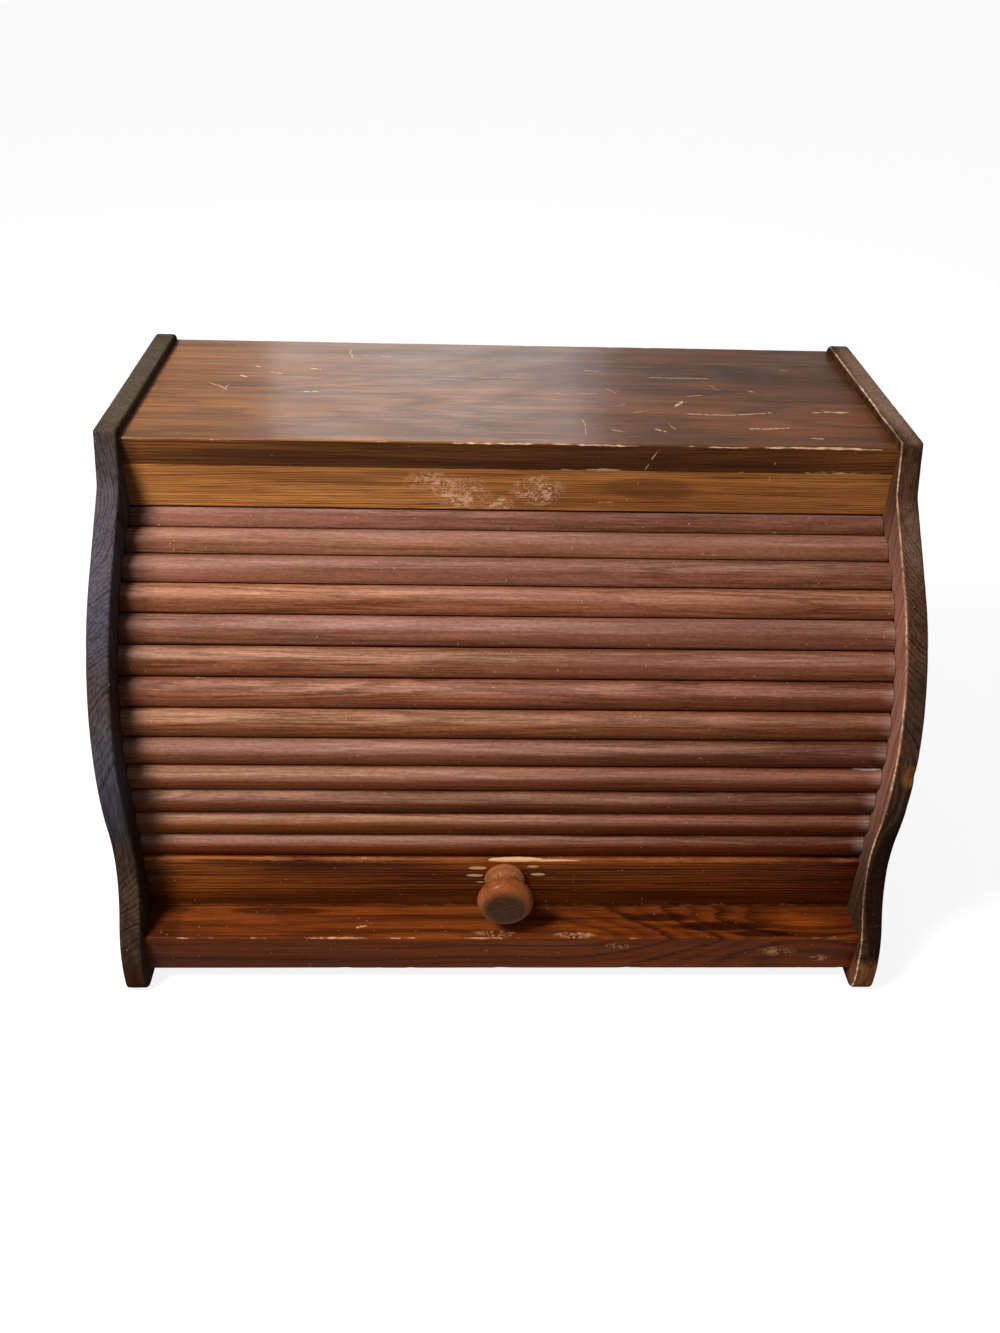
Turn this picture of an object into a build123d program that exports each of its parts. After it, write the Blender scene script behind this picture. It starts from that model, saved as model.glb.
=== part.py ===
from build123d import *
import math
import os

# Roll-top bread box. Two shaped side panels are joined by a base board, a top board with a fascia under
# its front edge and a thin back panel. The front is closed by a tambour: a lift rail with a knob, and
# slats on a canvas backing, which rolls over the arc of the track and down behind the bread.
#
# Millimetres. X runs to the right, Y to the back, Z up. The origin is the middle of the footprint, at
# the level that the side panels stand on. Sections are drawn in the side view: first Y, then Z.

# ---------------------------------------------------------------- driving dimensions

CLEAR_WIDTH = 408.0          # between the side panels
EASE = 1.0                   # worn edges of panels and boards

PANEL_THICKNESS = 12.0
PANEL_DEPTH = 269.0
PANEL_HEIGHT = 295.6
BELLY_MARGIN = 20.7          # panel's front edge in front of the track
COVE_RADIUS = 80.0           # hollow between belly and foot
TOE_RADIUS = 62.0            # round front of the foot
TOE_HEIGHT = 13.0            # level of the toe's centre
TOE_CORNER = 8.0
EAR_SETBACK = 116.0          # top front corner of the panel, behind the toe
EAR_HEIGHT = 26.8            # from the top of the panel down to the shoulder
EAR_SLOPE = 70.5             # lean of the edge above the shoulder, in degrees
EAR_HOLLOW = 12.0            # rounding at the foot of that edge
TOP_CORNER = 2.0
BACK_CORNER = 6.0

FOOT_HEIGHT = 11.0           # base board above the ground
BASE_THICKNESS = 25.4
BASE_SETBACK = 9.0           # base board behind the toe

TOP_THICKNESS = 15.0
TOP_DROP = 4.8               # top board under the top edge of the panels
TOP_SETBACK = 118.0          # front edge of the top board behind the toe
FASCIA_THICKNESS = 18.0

BACK_THICKNESS = 6.0
REBATE = 6.0                 # how far the back panel is let into the side panels
BACK_FIT = 0.2

TRACK_INSET = 41.4           # straight run of the track behind the toe
TRACK_HEADROOM = 22.7        # top of the track under the top board
ARC_RADIUS = 127.6
ARC_ANGLE = 100.0            # the arc goes this far before the tighter back corner
BACK_RUN_GAP = 11.0          # run down the back, in front of the back panel
GROOVE_DEPTH = 5.0
GROOVE_TAIL = 110.0          # level where the groove ends at the back
TONGUE_CLEARANCE = 0.6

SLAT_PITCH = 16.05
SLAT_TUCK = 2.0              # least reach of the slats behind the fascia when closed
SLAT_GAP = 0.3
SLAT_BASE = 4.0              # thickness at the edges of a slat
SLAT_CROWN = 3.5             # rise of its round front
END_CLEARANCE = 0.4          # tambour to side panels
FASCIA_CLEARANCE = 0.6       # tambour to fascia
CANVAS_THICKNESS = 0.8
CANVAS_MARGIN = 9.0          # canvas stops short of the slats' ends
CANVAS_LAP = 9.5             # canvas on the back of the lift rail

RAIL_HEIGHT = 37.85          # from its bottom edge to the first hinge line
RAIL_CLEARANCE = 0.3         # rail above the base board when closed
RAIL_BACK = 4.5              # thicker part of the rail, behind the canvas
RAIL_ROUND = 3.2

KNOB_RADIUS = 15.9
KNOB_RISE = 23.0             # knob's axis above the rail's bottom edge
KNOB_LENGTH = 24.5
KNOB_RIM_RADIUS = 6.1        # roundness of the cap's rim
KNOB_UNDERSIDE_RADIUS = 11.4
KNOB_FACE_RADIUS = 12.6
KNOB_FACE_RISE = 1.0
KNOB_COLLAR_RADIUS = 11.6
KNOB_COLLAR_HEIGHT = 2.6
KNOB_WAIST_RADIUS = 6.5
KNOB_WAIST_FLARE = 1.0
KNOB_WAIST_ROOM = 1.1        # from the waist's ends to collar and cap
SCREW_RADIUS = 1.8
SCREW_HEAD_RADIUS = 3.8
SCREW_HEAD_HEIGHT = 2.4
SCREW_SINK = 3.0             # counterbore in the back of the rail
SCREW_BITE = 14.0            # depth in the knob
SCREW_END_ROOM = 1.0
PIN_FIT = 0.05               # radial clearance of screw and dowels

DOWEL_RADIUS = 4.0
DOWEL_IN_PANEL = 8.0
DOWEL_IN_BOARD = 20.0
DOWEL_END_ROOM = 0.5
BASE_DOWELS = 3              # at each end of the board
TOP_DOWELS = 2
FASCIA_DOWELS = 2
DOWEL_MARGIN = 25.0          # first and last dowel from the edges of a board
FASCIA_DOWEL_RADIUS = 3.0
FASCIA_DOWEL_REACH = 8.0

# ---------------------------------------------------------------- derived levels and places

FRONT = -PANEL_DEPTH / 2
BACK = PANEL_DEPTH / 2
HALF_CLEAR = CLEAR_WIDTH / 2
BASE_TOP = FOOT_HEIGHT + BASE_THICKNESS
BASE_FRONT = FRONT + BASE_SETBACK
TOP_FACE = PANEL_HEIGHT - TOP_DROP
TOP_UNDERSIDE = TOP_FACE - TOP_THICKNESS
TOP_FRONT = FRONT + TOP_SETBACK
BACK_FACE = BACK - BACK_THICKNESS

TRACK_Y = FRONT + TRACK_INSET
CENTRE_Y = TRACK_Y + ARC_RADIUS
CENTRE_Z = TOP_UNDERSIDE - TRACK_HEADROOM - ARC_RADIUS
BACK_RUN_Y = BACK_FACE - BACK_RUN_GAP
ARC_LENGTH = ARC_RADIUS * math.radians(ARC_ANGLE)
LEAN = math.sin(math.radians(ARC_ANGLE - 90))
CORNER_RADIUS = (BACK_RUN_Y - CENTRE_Y - ARC_RADIUS * LEAN) / (1 - LEAN)
CORNER_LENGTH = CORNER_RADIUS * math.radians(180 - ARC_ANGLE)

CANVAS_FACE = CANVAS_THICKNESS / 2
SLAT_EDGE = CANVAS_FACE + SLAT_BASE
SLAT_FACE = SLAT_EDGE + SLAT_CROWN
SLAT_HALF_LENGTH = HALF_CLEAR - END_CLEARANCE
FIRST_HINGE_Z = BASE_TOP + RAIL_CLEARANCE + RAIL_HEIGHT
FASCIA_ARC = ARC_RADIUS + SLAT_FACE + FASCIA_CLEARANCE
RAIL_FACE_Y = TRACK_Y - SLAT_FACE
KNOB_Z = BASE_TOP + RAIL_CLEARANCE + KNOB_RISE
PILOT_DEPTH = SCREW_BITE + SCREW_END_ROOM

STRAIGHT_LENGTH = CENTRE_Z - FIRST_HINGE_Z
FASCIA_BACK = TOP_FRONT + FASCIA_THICKNESS
ARC_TO_FASCIA = ARC_RADIUS * math.acos((CENTRE_Y - FASCIA_BACK) / ARC_RADIUS)
SLAT_COUNT = math.ceil((STRAIGHT_LENGTH + ARC_TO_FASCIA + SLAT_TUCK) / SLAT_PITCH)
CARRIER = math.ceil(STRAIGHT_LENGTH / SLAT_PITCH) + 1    # first slat that is wholly in the arc

OVERCUT = 1.0                # cutting bodies stand out of the surface by this much


# ---------------------------------------------------------------- the track

def turned(centre, radius, degrees):
    """Point of a circle, by the angle from its front towards its top."""
    angle = math.radians(degrees)
    return centre[0] - radius * math.cos(angle), centre[1] + radius * math.sin(angle)


def corner_centre():
    """Centre of the tight back corner, which touches the end of the arc."""
    return turned((CENTRE_Y, CENTRE_Z), ARC_RADIUS - CORNER_RADIUS, ARC_ANGLE)


def track_point(station):
    """Point of the hinge line at a distance along it, counted from the start of the arc."""
    if station <= 0:
        return TRACK_Y, CENTRE_Z + station
    if station <= ARC_LENGTH:
        return turned((CENTRE_Y, CENTRE_Z), ARC_RADIUS, math.degrees(station / ARC_RADIUS))
    beyond = station - ARC_LENGTH
    if beyond <= CORNER_LENGTH:
        angle = ARC_ANGLE + math.degrees(beyond / CORNER_RADIUS)
        return turned(corner_centre(), CORNER_RADIUS, angle)
    return BACK_RUN_Y, corner_centre()[1] - (beyond - CORNER_LENGTH)


def next_station(station, chord):
    """Station of the next hinge up the track, one slat pitch away in a straight line."""
    low, high = station, station + 2 * chord
    for _ in range(60):
        middle = (low + high) / 2
        if math.dist(track_point(station), track_point(middle)) < chord:
            low = middle
        else:
            high = middle
    return low


def hinge_points(first_station):
    """Hinge points of the tambour, from the rail's to the end of the last slat."""
    station = first_station
    points = [track_point(station)]
    for _ in range(SLAT_COUNT):
        station = next_station(station, SLAT_PITCH)
        points.append(track_point(station))
    return points


CLOSED_HINGES = hinge_points(FIRST_HINGE_Z - CENTRE_Z)


def track_edges(outward):
    """Straight run, arc, back corner and back run, at a distance outside the hinge line."""
    centre = (CENTRE_Y, CENTRE_Z)
    arc = ARC_RADIUS + outward
    corner = CORNER_RADIUS + outward
    start = (TRACK_Y - outward, BASE_TOP)
    arc_start = turned(centre, arc, 0)
    arc_middle = turned(centre, arc, ARC_ANGLE / 2)
    arc_end = turned(centre, arc, ARC_ANGLE)
    corner_middle = turned(corner_centre(), corner, (ARC_ANGLE + 180) / 2)
    corner_end = turned(corner_centre(), corner, 180)
    tail = (BACK_RUN_Y + outward, GROOVE_TAIL)
    return [
        Line(start, arc_start),
        ThreePointArc(arc_start, arc_middle, arc_end),
        ThreePointArc(arc_end, corner_middle, corner_end),
        Line(corner_end, tail),
    ]


# ---------------------------------------------------------------- helpers

def across(section, left, right):
    """Extrude a side-view section from one X to another."""
    return extrude(Plane.YZ.offset(left) * section, amount=right - left)


def board(x, y, z):
    """Rectangular board from three pairs of limits."""
    size = [high - low for low, high in (x, y, z)]
    middle = [(low + high) / 2 for low, high in (x, y, z)]
    return Pos(*middle) * Box(*size)


def rounded(section, point, radius):
    """Round the corner of a section that is nearest to a point."""
    vertex = section.vertices().sort_by_distance(Vector(*point))[0]
    return fillet(vertex, radius)


def polygon(points):
    """Closed section with straight sides."""
    return make_face(Polyline(*points, close=True).edges())


def spread(low, high, count):
    """Evenly spaced places between two limits."""
    step = (high - low) / (count - 1)
    return [low + step * index for index in range(count)]


def lying_rod(radius, x, y, z):
    """Round rod along X between two limits."""
    length = x[1] - x[0]
    return Pos((x[0] + x[1]) / 2, y, z) * Rot(0, 90, 0) * Cylinder(radius, length)


def elevation(front, back):
    """Angle at which a line rises from a point in front to one behind it, in degrees."""
    return math.degrees(math.atan2(back[1] - front[1], back[0] - front[0]))


def front_meeting(first, first_radius, second, second_radius):
    """The front one of the two points where two circles meet; the first centre is the higher."""
    apart = math.dist(first, second)
    along = (first_radius ** 2 - second_radius ** 2 + apart ** 2) / (2 * apart)
    aside = math.sqrt(first_radius ** 2 - along ** 2)
    step = ((second[0] - first[0]) / apart, (second[1] - first[1]) / apart)
    return (
        first[0] + along * step[0] + aside * step[1],
        first[1] + along * step[1] - aside * step[0],
    )


# ---------------------------------------------------------------- side panels

def panel_section():
    """Outline of a side panel: round toe, cove, belly that follows the track, shoulder and ear."""
    centre = (CENTRE_Y, CENTRE_Z)
    belly = ARC_RADIUS + BELLY_MARGIN
    toe = (FRONT + TOE_RADIUS, TOE_HEIGHT)
    cove = front_meeting(centre, belly + COVE_RADIUS, toe, COVE_RADIUS + TOE_RADIUS)
    cove_to_toe = elevation(cove, toe)
    cove_to_belly = elevation(cove, centre)
    toe_start = (FRONT, TOE_HEIGHT)
    toe_middle = turned(toe, TOE_RADIUS, -cove_to_toe / 2)
    toe_end = turned(toe, TOE_RADIUS, -cove_to_toe)
    cove_middle = turned(cove, -COVE_RADIUS, -(cove_to_toe + cove_to_belly) / 2)
    belly_start = turned(centre, belly, -cove_to_belly)

    ear_top = (FRONT + EAR_SETBACK, PANEL_HEIGHT)
    ear_lean = EAR_HEIGHT / math.tan(math.radians(EAR_SLOPE))
    ear_foot = (ear_top[0] - ear_lean, PANEL_HEIGHT - EAR_HEIGHT)
    ear_angle = -elevation(ear_foot, centre)
    shoulder_angle = ear_angle - math.degrees(math.acos(belly / math.dist(ear_foot, centre)))
    belly_middle = turned(centre, belly, (shoulder_angle - cove_to_belly) / 2)
    belly_end = turned(centre, belly, shoulder_angle)

    toe_corner = (FRONT, 0)
    back_low = (BACK, 0)
    back_high = (BACK, PANEL_HEIGHT)
    section = make_face([
        Line(toe_corner, toe_start),
        ThreePointArc(toe_start, toe_middle, toe_end),
        ThreePointArc(toe_end, cove_middle, belly_start),
        ThreePointArc(belly_start, belly_middle, belly_end),
        Line(belly_end, ear_foot),
        Line(ear_foot, ear_top),
        Line(ear_top, back_high),
        Line(back_high, back_low),
        Line(back_low, toe_corner),
    ])
    section = rounded(section, toe_corner, TOE_CORNER)
    section = rounded(section, ear_foot, EAR_HOLLOW)
    section = rounded(section, ear_top, TOP_CORNER)
    section = rounded(section, back_high, BACK_CORNER)
    return section


def groove_section():
    """Track groove, wide enough for the tongues of the slats."""
    inner = track_edges(CANVAS_FACE - TONGUE_CLEARANCE)
    outer = track_edges(SLAT_EDGE + TONGUE_CLEARANCE)
    ends = [Line(inner[0] @ 0, outer[0] @ 0), Line(inner[-1] @ 1, outer[-1] @ 1)]
    return make_face(inner + outer + ends)


def joint_dowel_places():
    """Y and Z of the dowels that join the base board and the top board to a side panel."""
    base = spread(BASE_FRONT + DOWEL_MARGIN, BACK_FACE - DOWEL_MARGIN, BASE_DOWELS)
    top = spread(TOP_FRONT + DOWEL_MARGIN, BACK - DOWEL_MARGIN, TOP_DOWELS)
    base_z = FOOT_HEIGHT + BASE_THICKNESS / 2
    top_z = TOP_UNDERSIDE + TOP_THICKNESS / 2
    return [(y, base_z) for y in base], [(y, top_z) for y in top]


def left_panel():
    """Left side panel with its groove, rebate and dowel holes in the inner face."""
    outside = -HALF_CLEAR - PANEL_THICKNESS
    panel = across(panel_section(), outside, -HALF_CLEAR)
    outline = panel.faces().filter_by(Axis.X)
    panel = chamfer(outline.edges(), EASE)
    panel -= across(groove_section(), -HALF_CLEAR - GROOVE_DEPTH, -HALF_CLEAR + OVERCUT)
    panel -= board(
        (-HALF_CLEAR - REBATE, -HALF_CLEAR + OVERCUT),
        (BACK_FACE, BACK + OVERCUT),
        (FOOT_HEIGHT, TOP_UNDERSIDE),
    )
    for places in joint_dowel_places():
        for y, z in places:
            depth = (-HALF_CLEAR - DOWEL_IN_PANEL, -HALF_CLEAR + OVERCUT)
            panel -= lying_rod(DOWEL_RADIUS + PIN_FIT, depth, y, z)
    return panel


# ---------------------------------------------------------------- boards between the panels

def drilled(plank, places):
    """Dowel holes in both ends of a board."""
    for y, z in places:
        for side in (-1, 1):
            ends = sorted((side * (HALF_CLEAR - DOWEL_IN_BOARD), side * (HALF_CLEAR + OVERCUT)))
            plank -= lying_rod(DOWEL_RADIUS + PIN_FIT, ends, y, z)
    return plank


def base_board():
    """Base board between the side panels, in front of the back panel."""
    plank = board((-HALF_CLEAR, HALF_CLEAR), (BASE_FRONT, BACK_FACE), (FOOT_HEIGHT, BASE_TOP))
    front_edges = plank.edges().filter_by(Axis.X).sort_by(Axis.Y)[:2]
    plank = fillet(front_edges, EASE)
    return drilled(plank, joint_dowel_places()[0])


def fascia_dowel_places():
    """X of the upright dowels between the top board and the fascia."""
    reach = HALF_CLEAR - DOWEL_IN_BOARD - DOWEL_MARGIN
    return spread(-reach, reach, FASCIA_DOWELS)


def upright_dowel(radius, x, low, high):
    """Round rod along Z in the middle of the fascia's thickness."""
    return Pos(x, TOP_FRONT + FASCIA_THICKNESS / 2, (low + high) / 2) * Cylinder(radius, high - low)


def top_board():
    """Top board, flush with the fascia in front and with the panels at the back."""
    plank = board((-HALF_CLEAR, HALF_CLEAR), (TOP_FRONT, BACK), (TOP_UNDERSIDE, TOP_FACE))
    worn_edge = plank.edges().filter_by(Axis.X).group_by(Axis.Y)[0].sort_by(Axis.Z)[-1]
    plank = fillet(worn_edge, EASE)
    for x in fascia_dowel_places():
        high = TOP_UNDERSIDE + FASCIA_DOWEL_REACH
        plank -= upright_dowel(FASCIA_DOWEL_RADIUS + PIN_FIT, x, TOP_UNDERSIDE - OVERCUT, high)
    return drilled(plank, joint_dowel_places()[1])


def fascia():
    """Strip under the front of the top board, hollowed below to clear the slats."""
    arc_height = [
        CENTRE_Z + math.sqrt(FASCIA_ARC ** 2 - (CENTRE_Y - y) ** 2)
        for y in (TOP_FRONT, (TOP_FRONT + FASCIA_BACK) / 2, FASCIA_BACK)
    ]
    front_low = (TOP_FRONT, arc_height[0])
    middle_low = ((TOP_FRONT + FASCIA_BACK) / 2, arc_height[1])
    back_low = (FASCIA_BACK, arc_height[2])
    front_high = (TOP_FRONT, TOP_UNDERSIDE)
    back_high = (FASCIA_BACK, TOP_UNDERSIDE)
    section = make_face([
        ThreePointArc(front_low, middle_low, back_low),
        Line(back_low, back_high),
        Line(back_high, front_high),
        Line(front_high, front_low),
    ])
    strip = across(section, -HALF_CLEAR, HALF_CLEAR)
    for x in fascia_dowel_places():
        low = TOP_UNDERSIDE - FASCIA_DOWEL_REACH
        strip -= upright_dowel(FASCIA_DOWEL_RADIUS + PIN_FIT, x, low, TOP_UNDERSIDE + OVERCUT)
    return strip


def back_panel():
    """Thin back, let into the side panels behind the base board and under the top board."""
    half = HALF_CLEAR + REBATE - BACK_FIT
    return board(
        (-half, half),
        (BACK_FACE, BACK),
        (FOOT_HEIGHT + BACK_FIT, TOP_UNDERSIDE - BACK_FIT),
    )


def panel_dowels(places):
    """Dowels across both joints of a board, with room at their ends."""
    reach = HALF_CLEAR + DOWEL_IN_PANEL - DOWEL_END_ROOM
    inner = HALF_CLEAR - DOWEL_IN_BOARD + DOWEL_END_ROOM
    rods = []
    for y, z in places:
        rods.append(lying_rod(DOWEL_RADIUS, (-reach, -inner), y, z))
        rods.append(lying_rod(DOWEL_RADIUS, (inner, reach), y, z))
    return Compound(rods)


def fascia_dowels():
    """Upright dowels between the fascia and the top board."""
    reach = FASCIA_DOWEL_REACH - DOWEL_END_ROOM
    low = TOP_UNDERSIDE - reach
    high = TOP_UNDERSIDE + reach
    return Compound([upright_dowel(FASCIA_DOWEL_RADIUS, x, low, high) for x in fascia_dowel_places()])


# ---------------------------------------------------------------- tambour

def on_track(section, number):
    """Place a section drawn along and outward from a hinge line at slat number 1 and up."""
    lower = CLOSED_HINGES[number - 1]
    upper = CLOSED_HINGES[number]
    return Pos(*lower) * Rot(0, 0, elevation(lower, upper)) * section


def slat(number):
    """One slat: flat back, round front, edges that part as the tambour bends."""
    low = SLAT_GAP / 2
    high = SLAT_PITCH - SLAT_GAP / 2
    section = make_face([
        Line((low, CANVAS_FACE), (high, CANVAS_FACE)),
        Line((high, CANVAS_FACE), (high, SLAT_EDGE)),
        ThreePointArc((high, SLAT_EDGE), (SLAT_PITCH / 2, SLAT_FACE), (low, SLAT_EDGE)),
        Line((low, SLAT_EDGE), (low, CANVAS_FACE)),
    ])
    body = across(on_track(section, number), -SLAT_HALF_LENGTH, SLAT_HALF_LENGTH)
    if number == CARRIER:
        tongue = polygon([
            (low, CANVAS_FACE), (high, CANVAS_FACE), (high, SLAT_EDGE), (low, SLAT_EDGE),
        ])
        tongue_half = HALF_CLEAR + GROOVE_DEPTH - TONGUE_CLEARANCE
        body += across(on_track(tongue, number), -tongue_half, tongue_half)
    return body


def canvas(number):
    """Canvas strip behind one slat."""
    low = SLAT_GAP / 2
    high = SLAT_PITCH - SLAT_GAP / 2
    section = polygon([
        (low, -CANVAS_FACE), (high, -CANVAS_FACE), (high, CANVAS_FACE), (low, CANVAS_FACE),
    ])
    half = SLAT_HALF_LENGTH - CANVAS_MARGIN
    return across(on_track(section, number), -half, half)


def lift_rail():
    """Lift rail with the canvas rebate, the knob's screw hole and its counterbore."""
    top = FIRST_HINGE_Z - SLAT_GAP / 2
    bottom = BASE_TOP + RAIL_CLEARANCE
    lap = FIRST_HINGE_Z - CANVAS_LAP
    behind_slats = TRACK_Y - CANVAS_FACE
    behind_rail = TRACK_Y + RAIL_BACK
    section = polygon([
        (RAIL_FACE_Y, bottom), (RAIL_FACE_Y, top), (behind_slats, top),
        (behind_slats, lap), (behind_rail, lap), (behind_rail, bottom),
    ])
    section = rounded(section, (RAIL_FACE_Y, top), RAIL_ROUND)
    rail = across(section, -SLAT_HALF_LENGTH, SLAT_HALF_LENGTH)
    rail -= screw_rod(SCREW_RADIUS + PIN_FIT, RAIL_FACE_Y - OVERCUT, behind_rail + OVERCUT)
    rail -= screw_rod(SCREW_HEAD_RADIUS + PIN_FIT, behind_rail - SCREW_SINK, behind_rail + OVERCUT)
    return rail


def rail_canvas():
    """Canvas glued into the rebate of the lift rail."""
    half = SLAT_HALF_LENGTH - CANVAS_MARGIN
    return board(
        (-half, half),
        (TRACK_Y - CANVAS_FACE, TRACK_Y + CANVAS_FACE),
        (FIRST_HINGE_Z - CANVAS_LAP + BACK_FIT, FIRST_HINGE_Z - SLAT_GAP / 2),
    )


def screw_rod(radius, front, back):
    """Round rod along Y on the knob's axis."""
    return Pos(0, (front + back) / 2, KNOB_Z) * Rot(90, 0, 0) * Cylinder(radius, back - front)


def knob():
    """Turned mushroom knob: collar, waist, round rim and flat face, with a pilot hole for its screw."""
    hole = SCREW_RADIUS + PIN_FIT
    rim_centre = KNOB_RADIUS - KNOB_RIM_RADIUS
    face_height = KNOB_LENGTH - KNOB_FACE_RISE
    rim_height = face_height - math.sqrt(KNOB_RIM_RADIUS ** 2 - (KNOB_FACE_RADIUS - rim_centre) ** 2)
    underside = rim_height - math.sqrt(
        KNOB_RIM_RADIUS ** 2 - (KNOB_UNDERSIDE_RADIUS - rim_centre) ** 2
    )
    waist_end = KNOB_WAIST_RADIUS + KNOB_WAIST_FLARE
    collar_high = (KNOB_COLLAR_RADIUS, KNOB_COLLAR_HEIGHT)
    waist_low = (waist_end, KNOB_COLLAR_HEIGHT + KNOB_WAIST_ROOM)
    waist = (KNOB_WAIST_RADIUS, (KNOB_COLLAR_HEIGHT + underside) / 2)
    waist_high = (waist_end, underside - KNOB_WAIST_ROOM)
    rim_low = (KNOB_UNDERSIDE_RADIUS, underside)
    rim = (KNOB_RADIUS, rim_height)
    rim_high = (KNOB_FACE_RADIUS, face_height)
    section = make_face([
        Line((hole, 0), (KNOB_COLLAR_RADIUS, 0)),
        Line((KNOB_COLLAR_RADIUS, 0), collar_high),
        Line(collar_high, waist_low),
        ThreePointArc(waist_low, waist, waist_high),
        Line(waist_high, rim_low),
        ThreePointArc(rim_low, rim, rim_high),
        Line(rim_high, (0, KNOB_LENGTH)),
        Line((0, KNOB_LENGTH), (0, PILOT_DEPTH)),
        Line((0, PILOT_DEPTH), (hole, PILOT_DEPTH)),
        Line((hole, PILOT_DEPTH), (hole, 0)),
    ])
    turning = revolve(section, Axis.Y)
    return Pos(0, RAIL_FACE_Y, KNOB_Z) * Rot(180, 0, 0) * turning


def knob_screw():
    """Pan-head screw from the back of the rail into the knob."""
    seat = TRACK_Y + RAIL_BACK - SCREW_SINK
    shank = screw_rod(SCREW_RADIUS, RAIL_FACE_Y - SCREW_BITE, seat)
    head = screw_rod(SCREW_HEAD_RADIUS, seat, seat + SCREW_HEAD_HEIGHT)
    return shank + head


# ---------------------------------------------------------------- assembly

def parts():
    """Every sub-part by its name."""
    base_places, top_places = joint_dowel_places()
    left = left_panel()
    made = {
        "left_panel": left,
        "right_panel": mirror(left, about=Plane.YZ),
        "base_board": base_board(),
        "top_board": top_board(),
        "fascia": fascia(),
        "back_panel": back_panel(),
        "base_dowels": panel_dowels(base_places),
        "top_dowels": panel_dowels(top_places),
        "fascia_dowels": fascia_dowels(),
        "lift_rail": lift_rail(),
        "rail_canvas": rail_canvas(),
        "knob": knob(),
        "knob_screw": knob_screw(),
    }
    for number in range(1, SLAT_COUNT + 1):
        made[f"slat_{number:02d}"] = slat(number)
        made[f"canvas_{number:02d}"] = canvas(number)
    return made


os.makedirs("parts", exist_ok=True)
for name, shape in parts().items():
    export_step(shape, f"parts/{name}.step")
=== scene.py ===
import bmesh
import math
import random

import bpy
from mathutils import Matrix, Vector, noise


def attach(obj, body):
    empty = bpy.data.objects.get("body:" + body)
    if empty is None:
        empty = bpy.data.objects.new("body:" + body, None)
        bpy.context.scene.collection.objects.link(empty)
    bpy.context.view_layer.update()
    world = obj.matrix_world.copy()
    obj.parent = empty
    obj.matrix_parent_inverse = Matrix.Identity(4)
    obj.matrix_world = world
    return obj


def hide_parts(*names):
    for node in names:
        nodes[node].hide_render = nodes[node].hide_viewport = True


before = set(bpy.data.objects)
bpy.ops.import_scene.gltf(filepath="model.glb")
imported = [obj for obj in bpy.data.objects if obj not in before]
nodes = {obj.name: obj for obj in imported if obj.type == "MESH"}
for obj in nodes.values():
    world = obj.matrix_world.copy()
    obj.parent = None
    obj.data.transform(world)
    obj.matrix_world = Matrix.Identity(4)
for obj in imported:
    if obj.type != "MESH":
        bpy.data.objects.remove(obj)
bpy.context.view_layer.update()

# Lengths are in millimetres until they go into a mesh. The side view is (Y, Z).
MM = 0.001

# -------- sizes of the box

HALF_CLEAR = 204
PANEL = 12
FRONT = -134.5
BACK = 134.5
PANEL_TOP = 295.6
TOE_RADIUS = 62
TOE_HEIGHT = 13
TOE_CORNER = 8
COVE_RADIUS = 80
BELLY_MARGIN = 20.7
EAR_SETBACK = 116
EAR_HEIGHT = 26.8
EAR_SLOPE = 70.5
EAR_HOLLOW = 12
TOP_CORNER = 2
BACK_CORNER = 6
BASE_LOW = 11
BASE_TOP = 36.4
BASE_FRONT = -125.5
TOP_LOW = 275.8
TOP_FACE = 290.8
TOP_FRONT = -16.5
FASCIA_BACK = 1.5
BACK_FACE = 128.5
REBATE = 6
EDGE = 1.5
TRACK_Y = -93.1
CENTRE = (34.5, 125.5)
ARC = 127.6
ARC_ANGLE = 100
BACK_RUN_Y = 117.5
GROOVE_DEPTH = 5
GROOVE_TAIL = 110
TONGUE_ROOM = 0.6
SLAT_PITCH = 16.05
SLAT_GAP = 0.3
SLAT_COUNT = 14
CARRIER = 5
CANVAS_FACE = 0.4
SLAT_EDGE = 4.4
SLAT_FACE = 7.9
SLAT_HALF = 203.6
FASCIA_ARC = ARC + SLAT_FACE + 0.6
SLAT_SHOULDER = SLAT_EDGE - 0.3
SLAT_LOW, SLAT_HIGH = SLAT_GAP / 2, SLAT_PITCH - SLAT_GAP / 2
RAIL_LOW = 36.7
RAIL_TOP = 74.55
RAIL_FACE = -101
RAIL_BACK = TRACK_Y + 4.5
RAIL_LAP = RAIL_TOP - 9.5
KNOB_Z = 59.7
AXIS = 0.01                  # where a turned profile starts

# how finely the shapes are drawn
ARC_STEP = 2
PANEL_STEP = 3
BOARD_STEP = 4
STATION = 3                  # along a board
CORNER_STEPS = 5
SHARP_ANGLE = 35
EDGE_REACH = 1.1             # of the wear along a slat
SLAT_STATIONS = 150
CROWN_STEPS = 22


# -------- outlines in the side view

def turned(centre, radius, degrees):
    """Point of a circle, by the angle from its front towards its top."""
    angle = math.radians(degrees)
    return centre[0] - radius * math.cos(angle), centre[1] + radius * math.sin(angle)


LEAN = math.sin(math.radians(ARC_ANGLE - 90))
CORNER = (BACK_RUN_Y - CENTRE[0] - ARC * LEAN) / (1 - LEAN)
CORNER_CENTRE = turned(CENTRE, ARC - CORNER, ARC_ANGLE)
ARC_LENGTH = ARC * math.radians(ARC_ANGLE)
CORNER_LENGTH = CORNER * math.radians(180 - ARC_ANGLE)


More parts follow.
